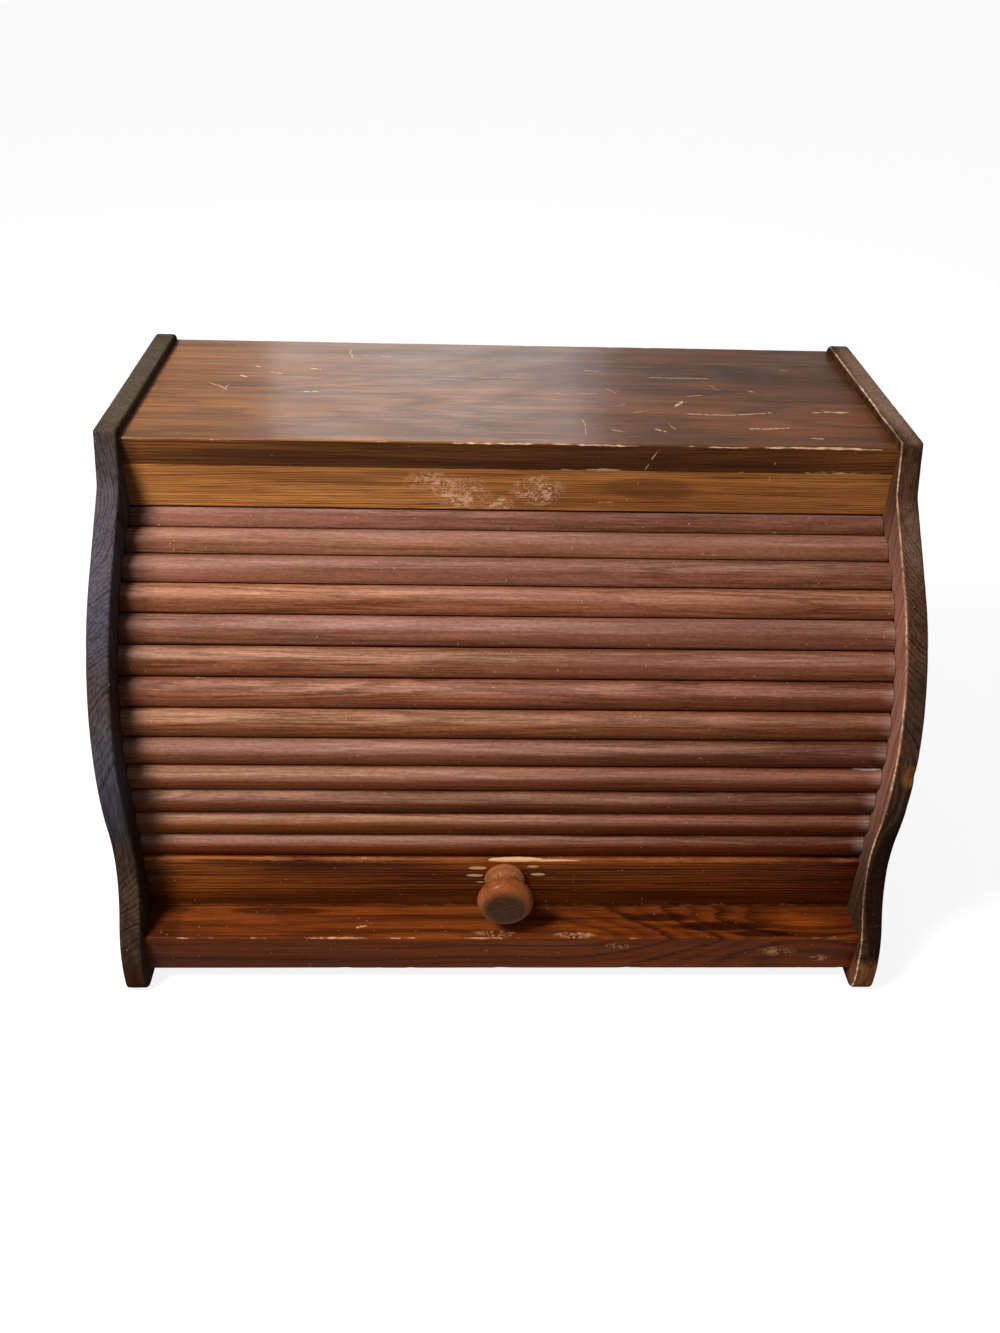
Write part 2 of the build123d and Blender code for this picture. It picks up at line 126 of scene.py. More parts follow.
def track_point(station):
    """Point of the hinge line, by the distance along it from the start of the arc."""
    if station <= 0:
        return TRACK_Y, CENTRE[1] + station
    if station <= ARC_LENGTH:
        return turned(CENTRE, ARC, math.degrees(station / ARC))
    beyond = station - ARC_LENGTH
    if beyond <= CORNER_LENGTH:
        return turned(CORNER_CENTRE, CORNER, ARC_ANGLE + math.degrees(beyond / CORNER))
    return BACK_RUN_Y, CORNER_CENTRE[1] - (beyond - CORNER_LENGTH)


def hinge_points():
    """Hinge lines of the closed tambour, from the rail's to the end of the last slat."""
    station = RAIL_TOP - CENTRE[1]
    points = [track_point(station)]
    for _ in range(SLAT_COUNT):
        low, high = station, station + 2 * SLAT_PITCH
        for _ in range(60):
            middle = (low + high) / 2
            if math.dist(track_point(station), track_point(middle)) < SLAT_PITCH:
                low = middle
            else:
                high = middle
        station = low
        points.append(track_point(station))
    return points


HINGES = hinge_points()


def arc_points(centre, radius, start, end):
    """Points along an arc between two angles, both ends included."""
    count = max(2, int(abs(math.radians(end - start)) * abs(radius) / ARC_STEP))
    return [turned(centre, radius, start + (end - start) * k / count) for k in range(count + 1)]


def line_points(a, b, step=PANEL_STEP):
    """Points along a straight line, without its ends."""
    count = max(1, int(math.dist(a, b) / step))
    return [(a[0] + (b[0] - a[0]) * k / count, a[1] + (b[1] - a[1]) * k / count)
            for k in range(1, count)]


def corner_points(before, corner, after, radius):
    """A rounded corner between two straight sides."""
    a, b = [Vector((side[0] - corner[0], side[1] - corner[1])).normalized() for side in (before, after)]
    half = a.angle(b) / 2
    reach = radius / math.tan(half)
    middle = (a + b).normalized() * (radius / math.sin(half))
    centre = Vector(corner) + middle
    start = Vector(corner) + a * reach - centre
    end = Vector(corner) + b * reach - centre
    turn = start.angle_signed(end)
    points = []
    for k in range(CORNER_STEPS + 1):
        angle = -turn * k / CORNER_STEPS
        c, s = math.cos(angle), math.sin(angle)
        points.append((centre.x + start.x * c - start.y * s, centre.y + start.x * s + start.y * c))
    return points


def rounded_outline(corners):
    """Closed outline from (point, radius) pairs, with points along its straight sides."""
    turns = []
    for k, (point, radius) in enumerate(corners):
        before = corners[k - 1][0]
        after = corners[(k + 1) % len(corners)][0]
        turns.append(corner_points(before, point, after, radius) if radius > 0 else [point])
    outline = []
    for k, turn in enumerate(turns):
        outline += turn
        outline += line_points(turn[-1], turns[(k + 1) % len(turns)][0], BOARD_STEP)
    return outline


def elevation(front, back):
    """Angle of the way from one point to another, in degrees."""
    return math.degrees(math.atan2(back[1] - front[1], back[0] - front[0]))


def panel_outline():
    """Outline of a side panel, from the toe up the front edge, over the top and down the back."""
    belly = ARC + BELLY_MARGIN
    toe = (FRONT + TOE_RADIUS, TOE_HEIGHT)
    first_radius, second_radius = belly + COVE_RADIUS, COVE_RADIUS + TOE_RADIUS
    apart = math.dist(CENTRE, toe)
    along = (first_radius ** 2 - second_radius ** 2 + apart ** 2) / (2 * apart)
    aside = math.sqrt(first_radius ** 2 - along ** 2)
    step = ((toe[0] - CENTRE[0]) / apart, (toe[1] - CENTRE[1]) / apart)
    cove = (CENTRE[0] + along * step[0] + aside * step[1],
            CENTRE[1] + along * step[1] - aside * step[0])
    to_toe = elevation(cove, toe)
    to_belly = elevation(cove, CENTRE)
    ear_top = (FRONT + EAR_SETBACK, PANEL_TOP)
    ear_foot = (ear_top[0] - EAR_HEIGHT / math.tan(math.radians(EAR_SLOPE)), PANEL_TOP - EAR_HEIGHT)
    ear_angle = -elevation(ear_foot, CENTRE)
    shoulder = ear_angle - math.degrees(math.acos(belly / math.dist(ear_foot, CENTRE)))
    outline = arc_points((FRONT + TOE_CORNER, TOE_CORNER), TOE_CORNER, -90, 0)
    outline += arc_points(toe, TOE_RADIUS, 0, -to_toe)
    outline += arc_points(cove, -COVE_RADIUS, -to_toe, -to_belly)[1:]
    outline += arc_points(CENTRE, belly, -to_belly, shoulder)[1:]
    path = [outline[-1], ear_foot, ear_top, (BACK, PANEL_TOP), (BACK, 0)]
    for k, radius in enumerate((EAR_HOLLOW, TOP_CORNER, BACK_CORNER)):
        turn = corner_points(*path[k:k + 3], radius)
        outline += line_points(outline[-1], turn[0]) + turn
    outline += line_points(outline[-1], path[-1]) + path[-1:]
    outline += line_points(path[-1], outline[0])
    return outline


def box_outline(across, upright):
    """Corners of a rectangle between two places each way."""
    (front, back), (low, high) = across, upright
    return [(front, low), (back, low), (back, high), (front, high)]


def outward_normals(outline):
    """Outward normals of a closed outline, longer at its corners so that an offset keeps its width."""
    count = len(outline)
    area = sum(outline[k - 1][0] * outline[k][1] - outline[k][0] * outline[k - 1][1]
               for k in range(count))
    sign = 1 if area > 0 else -1
    sides = []
    for k in range(count):
        a, b = outline[k], outline[(k + 1) % count]
        length = math.dist(a, b)
        sides.append((sign * (b[1] - a[1]) / length, -sign * (b[0] - a[0]) / length))
    normals = []
    for k, b in enumerate(sides):
        a = sides[k - 1]
        mean = Vector((a[0] + b[0], a[1] + b[1])).normalized()
        cosine = max(0.5, mean.x * b[0] + mean.y * b[1])
        normals.append((mean.x / cosine, mean.y / cosine))
    return normals


# -------- meshes

def smooth(thing):
    """Smooth faces, but for the edges that are sharper than an angle."""
    mesh = thing.data
    mesh.polygons.foreach_set("use_smooth", [True] * len(mesh.polygons))
    mesh.set_sharp_from_angle(angle=math.radians(SHARP_ANGLE))
    mesh.update()


def add_object(name, data):
    """New object in the scene."""
    thing = bpy.data.objects.new(name, data)
    bpy.context.scene.collection.objects.link(thing)
    return thing


def make_object(name, vertices, faces, **weights):
    """Smooth mesh object from millimetres, with its normals outwards and weights for each vertex."""
    mesh = bpy.data.meshes.new(name)
    mesh.from_pydata([tuple(c * MM for c in v) for v in vertices], [], faces)
    mesh.validate()
    for key, values in weights.items():
        mesh.attributes.new(key, "FLOAT", "POINT").data.foreach_set("value", values)
    thing = add_object(name, mesh)
    smooth(thing)
    work = bmesh.new()
    work.from_mesh(mesh)
    bmesh.ops.recalc_face_normals(work, faces=work.faces)
    work.to_mesh(mesh)
    work.free()
    return thing


def skin(count, rows):
    """Faces of a closed body from rows of one outline with so many points, both ends included."""
    last = (rows - 1) * count
    faces = [tuple(range(count)), tuple(range(last + count - 1, last - 1, -1))]
    for a in range(0, last, count):
        for k in range(count):
            n = (k + 1) % count
            faces.append((a + k, a + count + k, a + count + n, a + n))
    return faces


def cut(thing, cutters, operation="DIFFERENCE"):
    """Cut bodies out of a mesh for good and remove them."""
    for cutter in cutters:
        modifier = thing.modifiers.new("cut", "BOOLEAN")
        modifier.object = cutter
        modifier.operation = operation
        modifier.solver = "EXACT"
    bpy.context.view_layer.update()
    graph = bpy.context.evaluated_depsgraph_get()
    mesh = bpy.data.meshes.new_from_object(thing.evaluated_get(graph))
    mesh.name = thing.name
    thing.modifiers.clear()
    thing.data = mesh
    for cutter in cutters:
        bpy.data.objects.remove(cutter)
    smooth(thing)
    return thing


def prism(name, outline, left, right):
    """Plain body along X, used as a cutter."""
    vertices = [(x, y, z) for x in (left, right) for y, z in outline]
    return make_object(name, vertices, skin(len(outline), 2))


def wobble(x, y, z, scale):
    """Smooth noise from -1 to 1 of a place in millimetres."""
    return noise.noise(Vector((x, y, z)) / scale)


def chip(x, seed, spacing=9.0, limit=0.28):
    """How deep an edge is knocked in along its length, from 0 to 1."""
    coarse = noise.noise(Vector((x / spacing, seed * 7.31, 0.5)))
    fine = noise.noise(Vector((x / (spacing * 0.3), seed * 3.17, 8.5)))
    return max(0.0, coarse + 0.35 * fine - limit) / (1 - limit)


def swept(name, corners, half, seed, nick=0.5):
    """Board along X from a rounded outline, with slightly uneven faces and knocked edges."""
    outline = rounded_outline(corners)
    normals = outward_normals(outline)
    worn, nearest = [], []
    for point in outline:
        near = min(math.dist(point, c[0]) - c[1] * 0.5 for c in corners if c[1] > 0)
        worn.append(max(0.0, 1 - max(0.0, near) / 1.3))
        nearest.append(min(range(len(corners)), key=lambda c: math.dist(corners[c][0], point)))
    stations = int(2 * half / STATION)
    vertices, weights = [], []
    for i in range(stations + 1):
        x = -half + 2 * half * i / stations
        for (y, z), n, edge, corner in zip(outline, normals, worn, nearest):
            inset = -0.12 * wobble(x * 0.35, y, z, 22.0 + seed % 5)
            inset += nick * edge * chip(x, seed + corner * 2.7)
            vertices.append((x, y - n[0] * inset, z - n[1] * inset))
            weights.append(edge)
    return make_object(name, vertices, skin(len(outline), stations + 1), edge=weights)


def turned_body(name, profile, segments=96):
    """Turned body round the knob's axis from (radius, distance in front of the rail's face)."""
    vertices, faces = [], []
    rings = len(profile)
    for s in range(segments):
        angle = 2 * math.pi * s / segments
        for radius, rise in profile:
            vertices.append((radius * math.cos(angle), RAIL_FACE - rise,
                             KNOB_Z + radius * math.sin(angle)))
    for s in range(segments):
        a, b = s * rings, ((s + 1) % segments) * rings
        for k in range(rings - 1):
            faces.append((a + k, a + k + 1, b + k + 1, b + k))
    faces.append(tuple(s * rings for s in range(segments)))
    faces.append(tuple(s * rings + rings - 1 for s in range(segments)))
    return make_object(name, vertices, faces)


def side_panel(name, side, seed, notches):
    """Side panel with rounded, knocked edges, its track groove and the rebate for the back."""
    outline = panel_outline()
    normals = outward_normals(outline)
    inner = side * HALF_CLEAR
    # distance from the inner face, inset, wear weight, and how much an edge's knocks reach
    bevel = [(EDGE - EDGE * math.cos(a * math.pi / 8), EDGE - EDGE * math.sin(a * math.pi / 8))
             for a in range(5)]
    rings = [(depth, inset, 1.0 if depth < EDGE * 0.9 else 0.5) for depth, inset in bevel]
    rings += [(3.2, 0, 0.1), (4.6, 0, 0), (6, 0, 0), (7.4, 0, 0), (8.8, 0, 0.1)]
    rings += [(PANEL - depth, inset, worn) for depth, inset, worn in reversed(rings[:5])]
    travel = [0.0]
    for k in range(1, len(outline)):
        travel.append(travel[-1] + math.dist(outline[k - 1], outline[k]))
    vertices, weights = [], []
    for depth, inset, worn in rings:
        x = inner + side * depth
        facing = 0 if depth < 6 else 1
        for k, (y, z) in enumerate(outline):
            knock = 0.55 * worn * chip(travel[k], seed + 4.4 * facing)
            knock += 0.12 * wobble(depth * 3, y, z, 21.0) * (1 if inset < 1 else 0)
            for place, width, deep, which in notches:
                if which == facing:
                    reach = math.exp(-(math.dist((y, z), place) / width) ** 2)
                    knock += deep * reach * min(1, worn + 0.35)
            n = normals[k]
            vertices.append((x, y - n[0] * (inset + knock), z - n[1] * (inset + knock)))
            shallow = min(depth, PANEL - depth)
            edge = worn * (1 - 0.85 * min(1.0, abs(shallow - inset) / EDGE))
            weights.append(edge * (0.45 if facing and side > 0 else 1.0))
    thing = make_object(name, vertices, skin(len(outline), len(rings)), edge=weights)

    low, high = CANVAS_FACE - TONGUE_ROOM, SLAT_EDGE + TONGUE_ROOM
    groove = []
    for out, backwards in ((low, False), (high, True)):
        run = [(TRACK_Y - out, BASE_TOP)]
        run += arc_points(CENTRE, ARC + out, 0, ARC_ANGLE)
        run += arc_points(CORNER_CENTRE, CORNER + out, ARC_ANGLE, 180)[1:]
        run.append((BACK_RUN_Y + out, GROOVE_TAIL))
        groove += list(reversed(run)) if backwards else run
    rebate = box_outline((BACK_FACE, BACK + 3), (BASE_LOW, TOP_LOW))
    return cut(thing, [prism("cutter", outline, *sorted((inner - side, inner + side * depth)))
                       for outline, depth in ((groove, GROOVE_DEPTH), (rebate, REBATE))])


def on_slat(number, along, out):
    """Place in the side view, from one along a slat and out of its hinge line."""
    lower = HINGES[number - 1]
    heading = math.radians(elevation(lower, HINGES[number]))
    return (lower[0] + along * math.cos(heading) - out * math.sin(heading),
            lower[1] + along * math.sin(heading) + out * math.cos(heading))


def slat(number, seed):
    """One slat with a round front, slightly uneven, with small knocks along its edges."""
    low, high = SLAT_LOW, SLAT_HIGH
    halfway = (CANVAS_FACE + SLAT_EDGE) / 2
    section = [(low, CANVAS_FACE), (low, halfway), (low, SLAT_SHOULDER)]
    middle, half_width, rise = SLAT_PITCH / 2, (high - low) / 2, SLAT_FACE - SLAT_EDGE
    radius = (half_width ** 2 + rise ** 2) / (2 * rise)
    reach = math.asin(half_width / radius)
    for k in range(CROWN_STEPS + 1):
        angle = reach * (2 * k / CROWN_STEPS - 1)
        u = middle + radius * math.sin(angle)
        v = SLAT_FACE - radius * (1 - math.cos(angle))
        if k in (0, CROWN_STEPS):
            u += 0.25 if k == 0 else -0.25
            v -= 0.02
        section.append((u, v))
    section += [(high, SLAT_SHOULDER), (high, halfway), (high, CANVAS_FACE)]
    section += [(SLAT_PITCH * part, CANVAS_FACE) for part in (0.75, 0.5, 0.25)]
    share = (number - 1) / (SLAT_COUNT - 1)
    # Painted shade: these weights darken the lower part of each slat and a strip under its upper edge, the
    # parts that face away from the light; on the lower slats the dark part starts higher up.
    valley = 0.30 + 0.34 * share
    brow = 0.12 + 0.20 * share
    vertices, edge, grime = [], [], []
    for i in range(SLAT_STATIONS + 1):
        x = -SLAT_HALF + 2 * SLAT_HALF * i / SLAT_STATIONS
        for u, v in section:
            edge_low, edge_high = [math.exp(-(way / EDGE_REACH) ** 2) if v > SLAT_EDGE - 1 else 0
                                   for way in (u - low, high - u)]
            front = max(0.0, min(1.0, (v - SLAT_EDGE) / 1.5))
            v_now = v - 0.45 * edge_low * chip(x, seed + 0.4, 7.0, 0.34)
            v_now -= 0.45 * edge_high * chip(x, seed + 5.2, 7.0, 0.34)
            v_now += 0.12 * front * (wobble(x * 0.25, u * 1.5 + seed * 40, 0, 17.0) - 0.6)
            vertices.append((x, *on_slat(number, u, v_now)))
            edge.append(max(0.25 * edge_low, edge_high))
            down = (high - u) / (high - low)
            deep = max(0.0, min(1.0, (down - valley + 0.17) / 0.34))
            grime.append(max(deep, 0.80 * max(0.0, 1 - down / brow)))
    return make_object(f"worn_slat_{number:02d}", vertices, skin(len(section), SLAT_STATIONS + 1),
                       edge=edge, grime=grime)


# -------- materials

def srgb(r, g, b):
    """Linear colour from one written as 0 to 255."""
    return tuple((c / 255 / 12.92 if c / 255 <= 0.04045 else ((c / 255 + 0.055) / 1.055) ** 2.4)
                 for c in (r, g, b)) + (1.0,)


class Nodes:
    """Short way to build a node tree."""

    def __init__(self, tree):
        self.tree = tree
        tree.nodes.clear()

    def put(self, node, key, value):
        """Link a socket to an input, or set its value."""
        socket = node.inputs[key]
        if isinstance(value, bpy.types.NodeSocket):
            self.tree.links.new(value, socket)
        else:
            socket.default_value = value

    def node(self, kind, inputs=(), **settings):
        made = self.tree.nodes.new(kind)
        for key, value in settings.items():
            setattr(made, key, value)
        for key, value in inputs:
            self.put(made, key, value)
        return made

    def made(self, kind, inputs, output=0, **settings):
        """What a new node puts out."""
        return self.node(kind, inputs, **settings).outputs[output]

    def math(self, operation, *values, **settings):
        return self.made("ShaderNodeMath", enumerate(values), operation=operation, **settings)

    def vector_math(self, operation, *values, output=0):
        return self.made("ShaderNodeVectorMath", enumerate(values), output, operation=operation)

    def sway(self, wave, reach, value):
        """Push a value up and down by a noise."""
        return self.math("MULTIPLY_ADD", self.math("SUBTRACT", wave, 0.5), reach, value)

    def split(self, vector):
        return self.node("ShaderNodeSeparateXYZ", [(0, vector)]).outputs

    def scaled(self, vector, scale, location):
        return self.made("ShaderNodeMapping", (("Vector", vector), ("Scale", scale), ("Location", location)))

    def noise(self, vector, scale, detail, rough, location=(0, 0, 0), distortion=0.0, output="Fac"):
        inputs = (("Vector", self.scaled(vector, scale, location)), ("Scale", 1.0), ("Detail", detail),
                  ("Roughness", rough), ("Distortion", distortion))
        return self.made("ShaderNodeTexNoise", inputs, output)

    def step(self, value, low, high, to_low=0.0, to_high=1.0):
        """Smooth way from one value to another."""
        inputs = (("Value", value), ("From Min", low), ("From Max", high), ("To Min", to_low),
                  ("To Max", to_high))
        return self.made("ShaderNodeMapRange", inputs, interpolation_type="SMOOTHSTEP")

    def mix(self, factor, a, b, blend="MIX"):
        inputs = (0, factor), (6, a), (7, b)
        return self.made("ShaderNodeMix", inputs, 2, data_type="RGBA", blend_type=blend)


class Shader(Nodes):
    """Nodes of a material, round its main shader and in the object's own coordinates."""

    def __init__(self, name):
        self.material = bpy.data.materials.new(name)
        self.material.use_nodes = True
        super().__init__(self.material.node_tree)
        self.output = self.node("ShaderNodeOutputMaterial")
        self.bsdf = self.node("ShaderNodeBsdfPrincipled")
        self.put(self.output, 0, self.bsdf.outputs[0])
        self.coordinates = self.node("ShaderNodeTexCoord").outputs["Object"]

    def surface(self, **values):
        """Set the main shader's inputs, with underscores for the spaces in their names."""
        for key, value in values.items():
            self.put(self.bsdf, key.replace("_", " "), value)

    def attribute(self, name):
        return self.made("ShaderNodeAttribute", (), "Fac", attribute_name=name)

    def bump(self, height, distance, strength):
        inputs = ("Strength", strength), ("Distance", distance), ("Height", height)
        return self.made("ShaderNodeBump", inputs)

    def spot(self, centre, size, softness):
        """Soft patch: 1 inside an ellipsoid in millimetres, 0 outside."""
        centre, size = [c * MM for c in centre], [s * MM for s in size]
        offset = self.scaled(self.coordinates, tuple(1 / s for s in size),
                             tuple(-c / s for c, s in zip(centre, size)))
        return self.step(self.vector_math("LENGTH", offset, output="Value"), 1.0, 1.0 - softness)


def scratch_group():
    """Node group: 1 on a thin line between two points, 0 away from it."""
    group = bpy.data.node_groups.new("scratch_line", "ShaderNodeTree")
    for name, way, kind in (("P", "INPUT", "Vector"), ("A", "INPUT", "Vector"), ("B", "INPUT", "Vector"),
                            ("Width", "INPUT", "Float"), ("Found", "INPUT", "Float"),
                            ("Mask", "OUTPUT", "Float"), ("P", "OUTPUT", "Vector")):
        group.interface.new_socket(name=name, in_out=way, socket_type="NodeSocket" + kind)
    g = Nodes(group)
    given = g.node("NodeGroupInput").outputs
    along = g.vector_math("SUBTRACT", given["B"], given["A"])
    reach = g.vector_math("SUBTRACT", given["P"], given["A"])
    share = g.math("DIVIDE", g.vector_math("DOT_PRODUCT", reach, along, output="Value"),
                   g.vector_math("DOT_PRODUCT", along, along, output="Value"), use_clamp=True)
    foot = g.made("ShaderNodeVectorMath", ((0, along), ("Scale", share)), operation="SCALE")
    gap = g.vector_math("DISTANCE", reach, foot, output="Value")
    line = g.step(g.math("DIVIDE", gap, given["Width"]), 1.0, 0.3)
    found = g.math("MAXIMUM", line, given["Found"])
    # handing the place on makes the lines run one after another, which needs little memory
    place = g.vector_math("MULTIPLY_ADD", found, (1e-9, 1e-9, 1e-9), given["P"])
    g.node("NodeGroupOutput", (("Mask", found), ("P", place)))
    return group


SCRATCH = scratch_group()


def scratches(shader, lines, point):
    """Strongest of several scratch lines, given as (start, end, width) in millimetres."""
    found = 0.0
    for a, b, width in lines:
        inputs = (("P", point), ("Found", found), ("A", tuple(c * MM for c in a)),
                  ("B", tuple(c * MM for c in b)), ("Width", width * MM))
        node = shader.node("ShaderNodeGroup", inputs, node_tree=SCRATCH)
        found, point = node.outputs["Mask"], node.outputs["P"]
    return found


def wood(name, light, mid, dark, seed, ring, pith, roughness, coat, grain="X", waves=1.0, contrast=1.0,
         bend=(), stain=0.5, worn=0.55, pale=(196, 150, 104), lines=(), patches=(), shade=(), sheen_veil=None,
         dust=0.0, zones=(), scuffs=(), rubbed=(), rim=None, grime=None, coat_roughness=0.24,
         specular=0.02, right_shade=None, feather=0.6):
    """Stained and lacquered wood in the object's own coordinates.

    light, mid, dark: stain colours, 0 to 255. ring: growth ring width. pith: where the heart of the
    tree lies in the plane across the grain, in mm from the piece. bend: (place, size, reach) that push
    the rings aside, as a knot does. lines, patches: scratches and bare places. shade: darker or
    lighter places as (centre, size, factor). sheen_veil: colour, amount and grain of a painted sheen,
    a veil on the stain. zones: soft tints as (centre, size, amount, colour, softness), among them
    painted shade and a painted reflection. scuffs: crackled places as (centre, size). rubbed:
    stretches along X where the edge is worn more, as (from, to, amount). rim:
    colour and amount of a lighter worn upper edge, which on the rail is a painted highlight.
    grime: amount and tone of the painted shade over the lower part of a slat and under its
    upper edge. right_shade: tone of a painted shade towards the right. feather: how ragged the rings
    are along the fibres.
    """
    s = Shader(name)
    rnd = random.Random(seed)
    shift = tuple(rnd.uniform(-3, 3) for _ in range(3))
    x, y, z = s.split(s.coordinates)
    along, u, v = {"X": (x, y, z), "Z": (z, y, x), "Y": (y, x, z)}[grain]
    place = s.made("ShaderNodeCombineXYZ", enumerate((along, u, v)))

    def grained(scale, detail, rough, **more):
        """Noise that is drawn out along the grain."""
        return s.noise(place, scale, detail, rough, **{"location": shift, **more})

    def even(scale, detail, rough, **more):
        """Noise in the object's own coordinates."""
        return s.noise(s.coordinates, scale, detail, rough, shift, **more)

    def times(a, b):
        return s.math("MULTIPLY", a, b)

    def overlaid(factor, tone):
        """Lay a colour from 0 to 255 over the wood."""
        return s.mix(factor, color, srgb(*tone))

    # growth rings round the pith, bent by slow noise along the grain
    slow = s.split(grained((2.6, 12, 12), 2, 0.5, output="Color"))
    swirl = s.split(grained((9, 60, 60), 2, 0.55, output="Color"))
    off_pith = []
    for k, side in enumerate((u, v)):
        side = s.sway(swirl[k], 0.0045 * waves, s.sway(slow[k], 0.034 * waves, side))
        side = s.math("SUBTRACT", side, pith[k] * MM)
        off_pith.append(times(side, side))
    radius = s.math("SQRT", s.math("ADD", *off_pith))
    fibre = grained((22, 900, 900), 2, 0.6)
    radius = s.sway(fibre, 1.6 * feather * ring * MM, radius)
    for centre, size, reach in bend:
        radius = s.math("MULTIPLY_ADD", s.spot(centre, size, 1), reach * MM, radius)
    turns = s.math("DIVIDE", radius, ring * MM)
    phase = s.math("FRACT", turns)
    late = times(s.step(phase, 0.25, 0.88), s.step(phase, 0.99, 0.9))
    which = s.made("ShaderNodeTexWhiteNoise", [("W", s.math("FLOOR", turns))], "Value", noise_dimensions="1D")
    late = times(late, s.step(which, 0, 1, 0.45, 1))

    # fibres, pores and uneven stain
    pore = s.step(grained((70, 2600, 2600), 1, 0.5), 0.64, 0.74)
    blotch = grained((5, 22, 22), 3, 0.55)
    cloud = grained((2, 34, 34), 3, 0.6, location=tuple(2 * c for c in shift))
    streak = grained((7, 260, 260), 2, 0.6)
    color = s.mix(s.step(blotch, 0.33, 0.68), srgb(*mid), srgb(*light))
    color = overlaid(times(s.step(cloud, 0.5, 0.74), 0.75 * stain), dark)
    color = overlaid(times(late, 0.72 * contrast), dark)
    color = overlaid(s.step(streak, 0.48, 0.7, 0, 0.38 * contrast), dark)
    color = overlaid(s.step(streak, 0.46, 0.3, 0, 0.25 * contrast), [min(255, c * 1.16) for c in light])
    color = overlaid(s.step(fibre, 0.4, 0.72, 0, 0.42 * contrast), dark)
    color = overlaid(times(pore, 0.3), [c * 0.45 for c in dark])
    # Painted sheen: a pale veil along the grain that stands in for the lacquer's reflection.
    if sheen_veil:
        hue, amount, scale = sheen_veil
        color = overlaid(s.step(grained(scale, 2, 0.5), 0.4, 0.66, 0, amount), hue)
    for centre, size, factor in shade:
        area = s.sway(grained((14, 120, 120), 3, 0.6), 1.4, s.spot(centre, size, 0.8))
        color = overlaid(times(s.step(area, 0.25, 0.75), abs(factor)), dark if factor > 0 else light)
    # Painted shade: the colour darkens towards the right, where less light falls.
    if right_shade:
        color = s.mix(s.step(x, -0.12, 0.2), color, (*right_shade, 1), "MULTIPLY")
    # Painted shade: darkens the lower part of a slat and the strip under its upper edge by the weights the
    # slat carries. The speckle after it is fleck in the wood.
    if grime:
        shade_mask = s.sway(grained((9, 110, 110), 3, 0.6), 0.7, s.attribute("grime"))
        color = s.mix(s.step(shade_mask, 0.06, 0.94, 0, grime[0]), color, (*grime[1], 1), "MULTIPLY")
        speckle = s.step(grained((300, 800, 800), 2, 0.7), 0.42, 0.62, 0, 0.55)
        color = s.mix(speckle, color, (0.72, 0.62, 0.58, 1), "MULTIPLY")
    between = times(s.step(fibre, 0.36, 0.62, 1, 0.55), s.step(late, 0, 1, 1, 0.5))
    for centre, size, amount, hue, *soft in zones:
        area = s.spot(centre, size, *(soft or (0.55,)))
        color = overlaid(times(times(area, between), amount), hue)

    # worn edges, bare patches and scratches down to the pale wood
    grit = even((160, 420, 420), 3, 0.65)
    rub = even((24, 40, 40), 2, 0.5)
    edge = s.attribute("edge")
    bare = s.sway(grit, 1.1, s.sway(rub, 2, s.math("SUBTRACT", edge, 1)))
    for start, stop, amount in rubbed:
        within = times(s.step(x, (start - 6) * MM, (start + 6) * MM),
                       s.step(x, (stop + 6) * MM, (stop - 6) * MM))
        bare = s.math("MULTIPLY_ADD", within, amount, bare)
    bare = times(s.step(bare, 0.62 - worn, 0.86 - worn), s.step(edge, 0.45, 0.85))
    # A lighter line along the worn upper edges: wear, and on the rail a painted highlight.
    if rim:
        line = times(s.step(s.sway(grit, 1.3, edge), 0.5, 0.95), s.step(rub, 0.4, 0.6, 0.25, 1))
        color = overlaid(times(line, rim[1]), rim[0])
    pale_color = s.mix(s.step(grit, 0.35, 0.65), srgb(*[c * 0.72 for c in pale]), srgb(*pale))
    color = s.mix(times(bare, 0.85), color, pale_color)
    marks = []
    for centre, size in patches:
        marks.append(s.step(s.sway(grit, 0.9, s.spot(centre, size, 0.6)), 0.4, 0.56))
    if scuffs:
        net = even((230, 330, 330), 3, 0.6, distortion=1.2)
        net = s.math("ABSOLUTE", s.math("SUBTRACT", net, 0.5))
        flakes = even((120, 210, 210), 4, 0.7)
        net = s.math("MAXIMUM", s.step(net, 0.04, 0.008), s.step(flakes, 0.535, 0.61))
        for centre, size in scuffs:
            marks.append(times(s.step(s.spot(centre, size, 0.95), 0.05, 0.7, 0, 0.85), net))
    if lines:
        warped = even((90, 90, 90), 2, 0.5, output="Color")
        warped = s.vector_math("MULTIPLY_ADD", warped, (0.004, 0.004, 0), s.coordinates)
        found = scratches(s, lines, s.vector_math("SUBTRACT", warped, (0.002, 0.002, 0)))
        marks.append(times(found, s.step(even((420, 420, 420), 2, 0.6), 0.36, 0.5)))
    gloss = s.step(rub, 0.3, 0.7, roughness - 0.05, roughness + 0.09)
    gloss = s.math("ADD", gloss, times(bare, 0.25))
    height = s.math("MULTIPLY_ADD", late, -0.5, times(fibre, 0.5))
    for part, depth in ((pore, -0.4), (blotch, 0.8), (bare, -0.5)):
        height = s.math("MULTIPLY_ADD", part, depth, height)
    if marks:
        most = marks[0]
        for mark in marks[1:]:
            most = s.math("MAXIMUM", most, mark)
        color = overlaid(times(most, 0.85), pale)
        gloss = s.math("ADD", gloss, times(most, 0.3))
        height = s.math("MULTIPLY_ADD", most, -0.9, height)
    if dust:
        speck = s.step(even((640, 640, 640), 1, 0.4), 0.755, 0.8)
        color = overlaid(times(speck, dust), (200, 164, 136))
    s.surface(Base_Color=color, Roughness=gloss, Coat_Weight=coat, Coat_Roughness=coat_roughness,
              Specular_IOR_Level=specular, Normal=s.bump(height, 0.00022, 0.8))
    return s.material


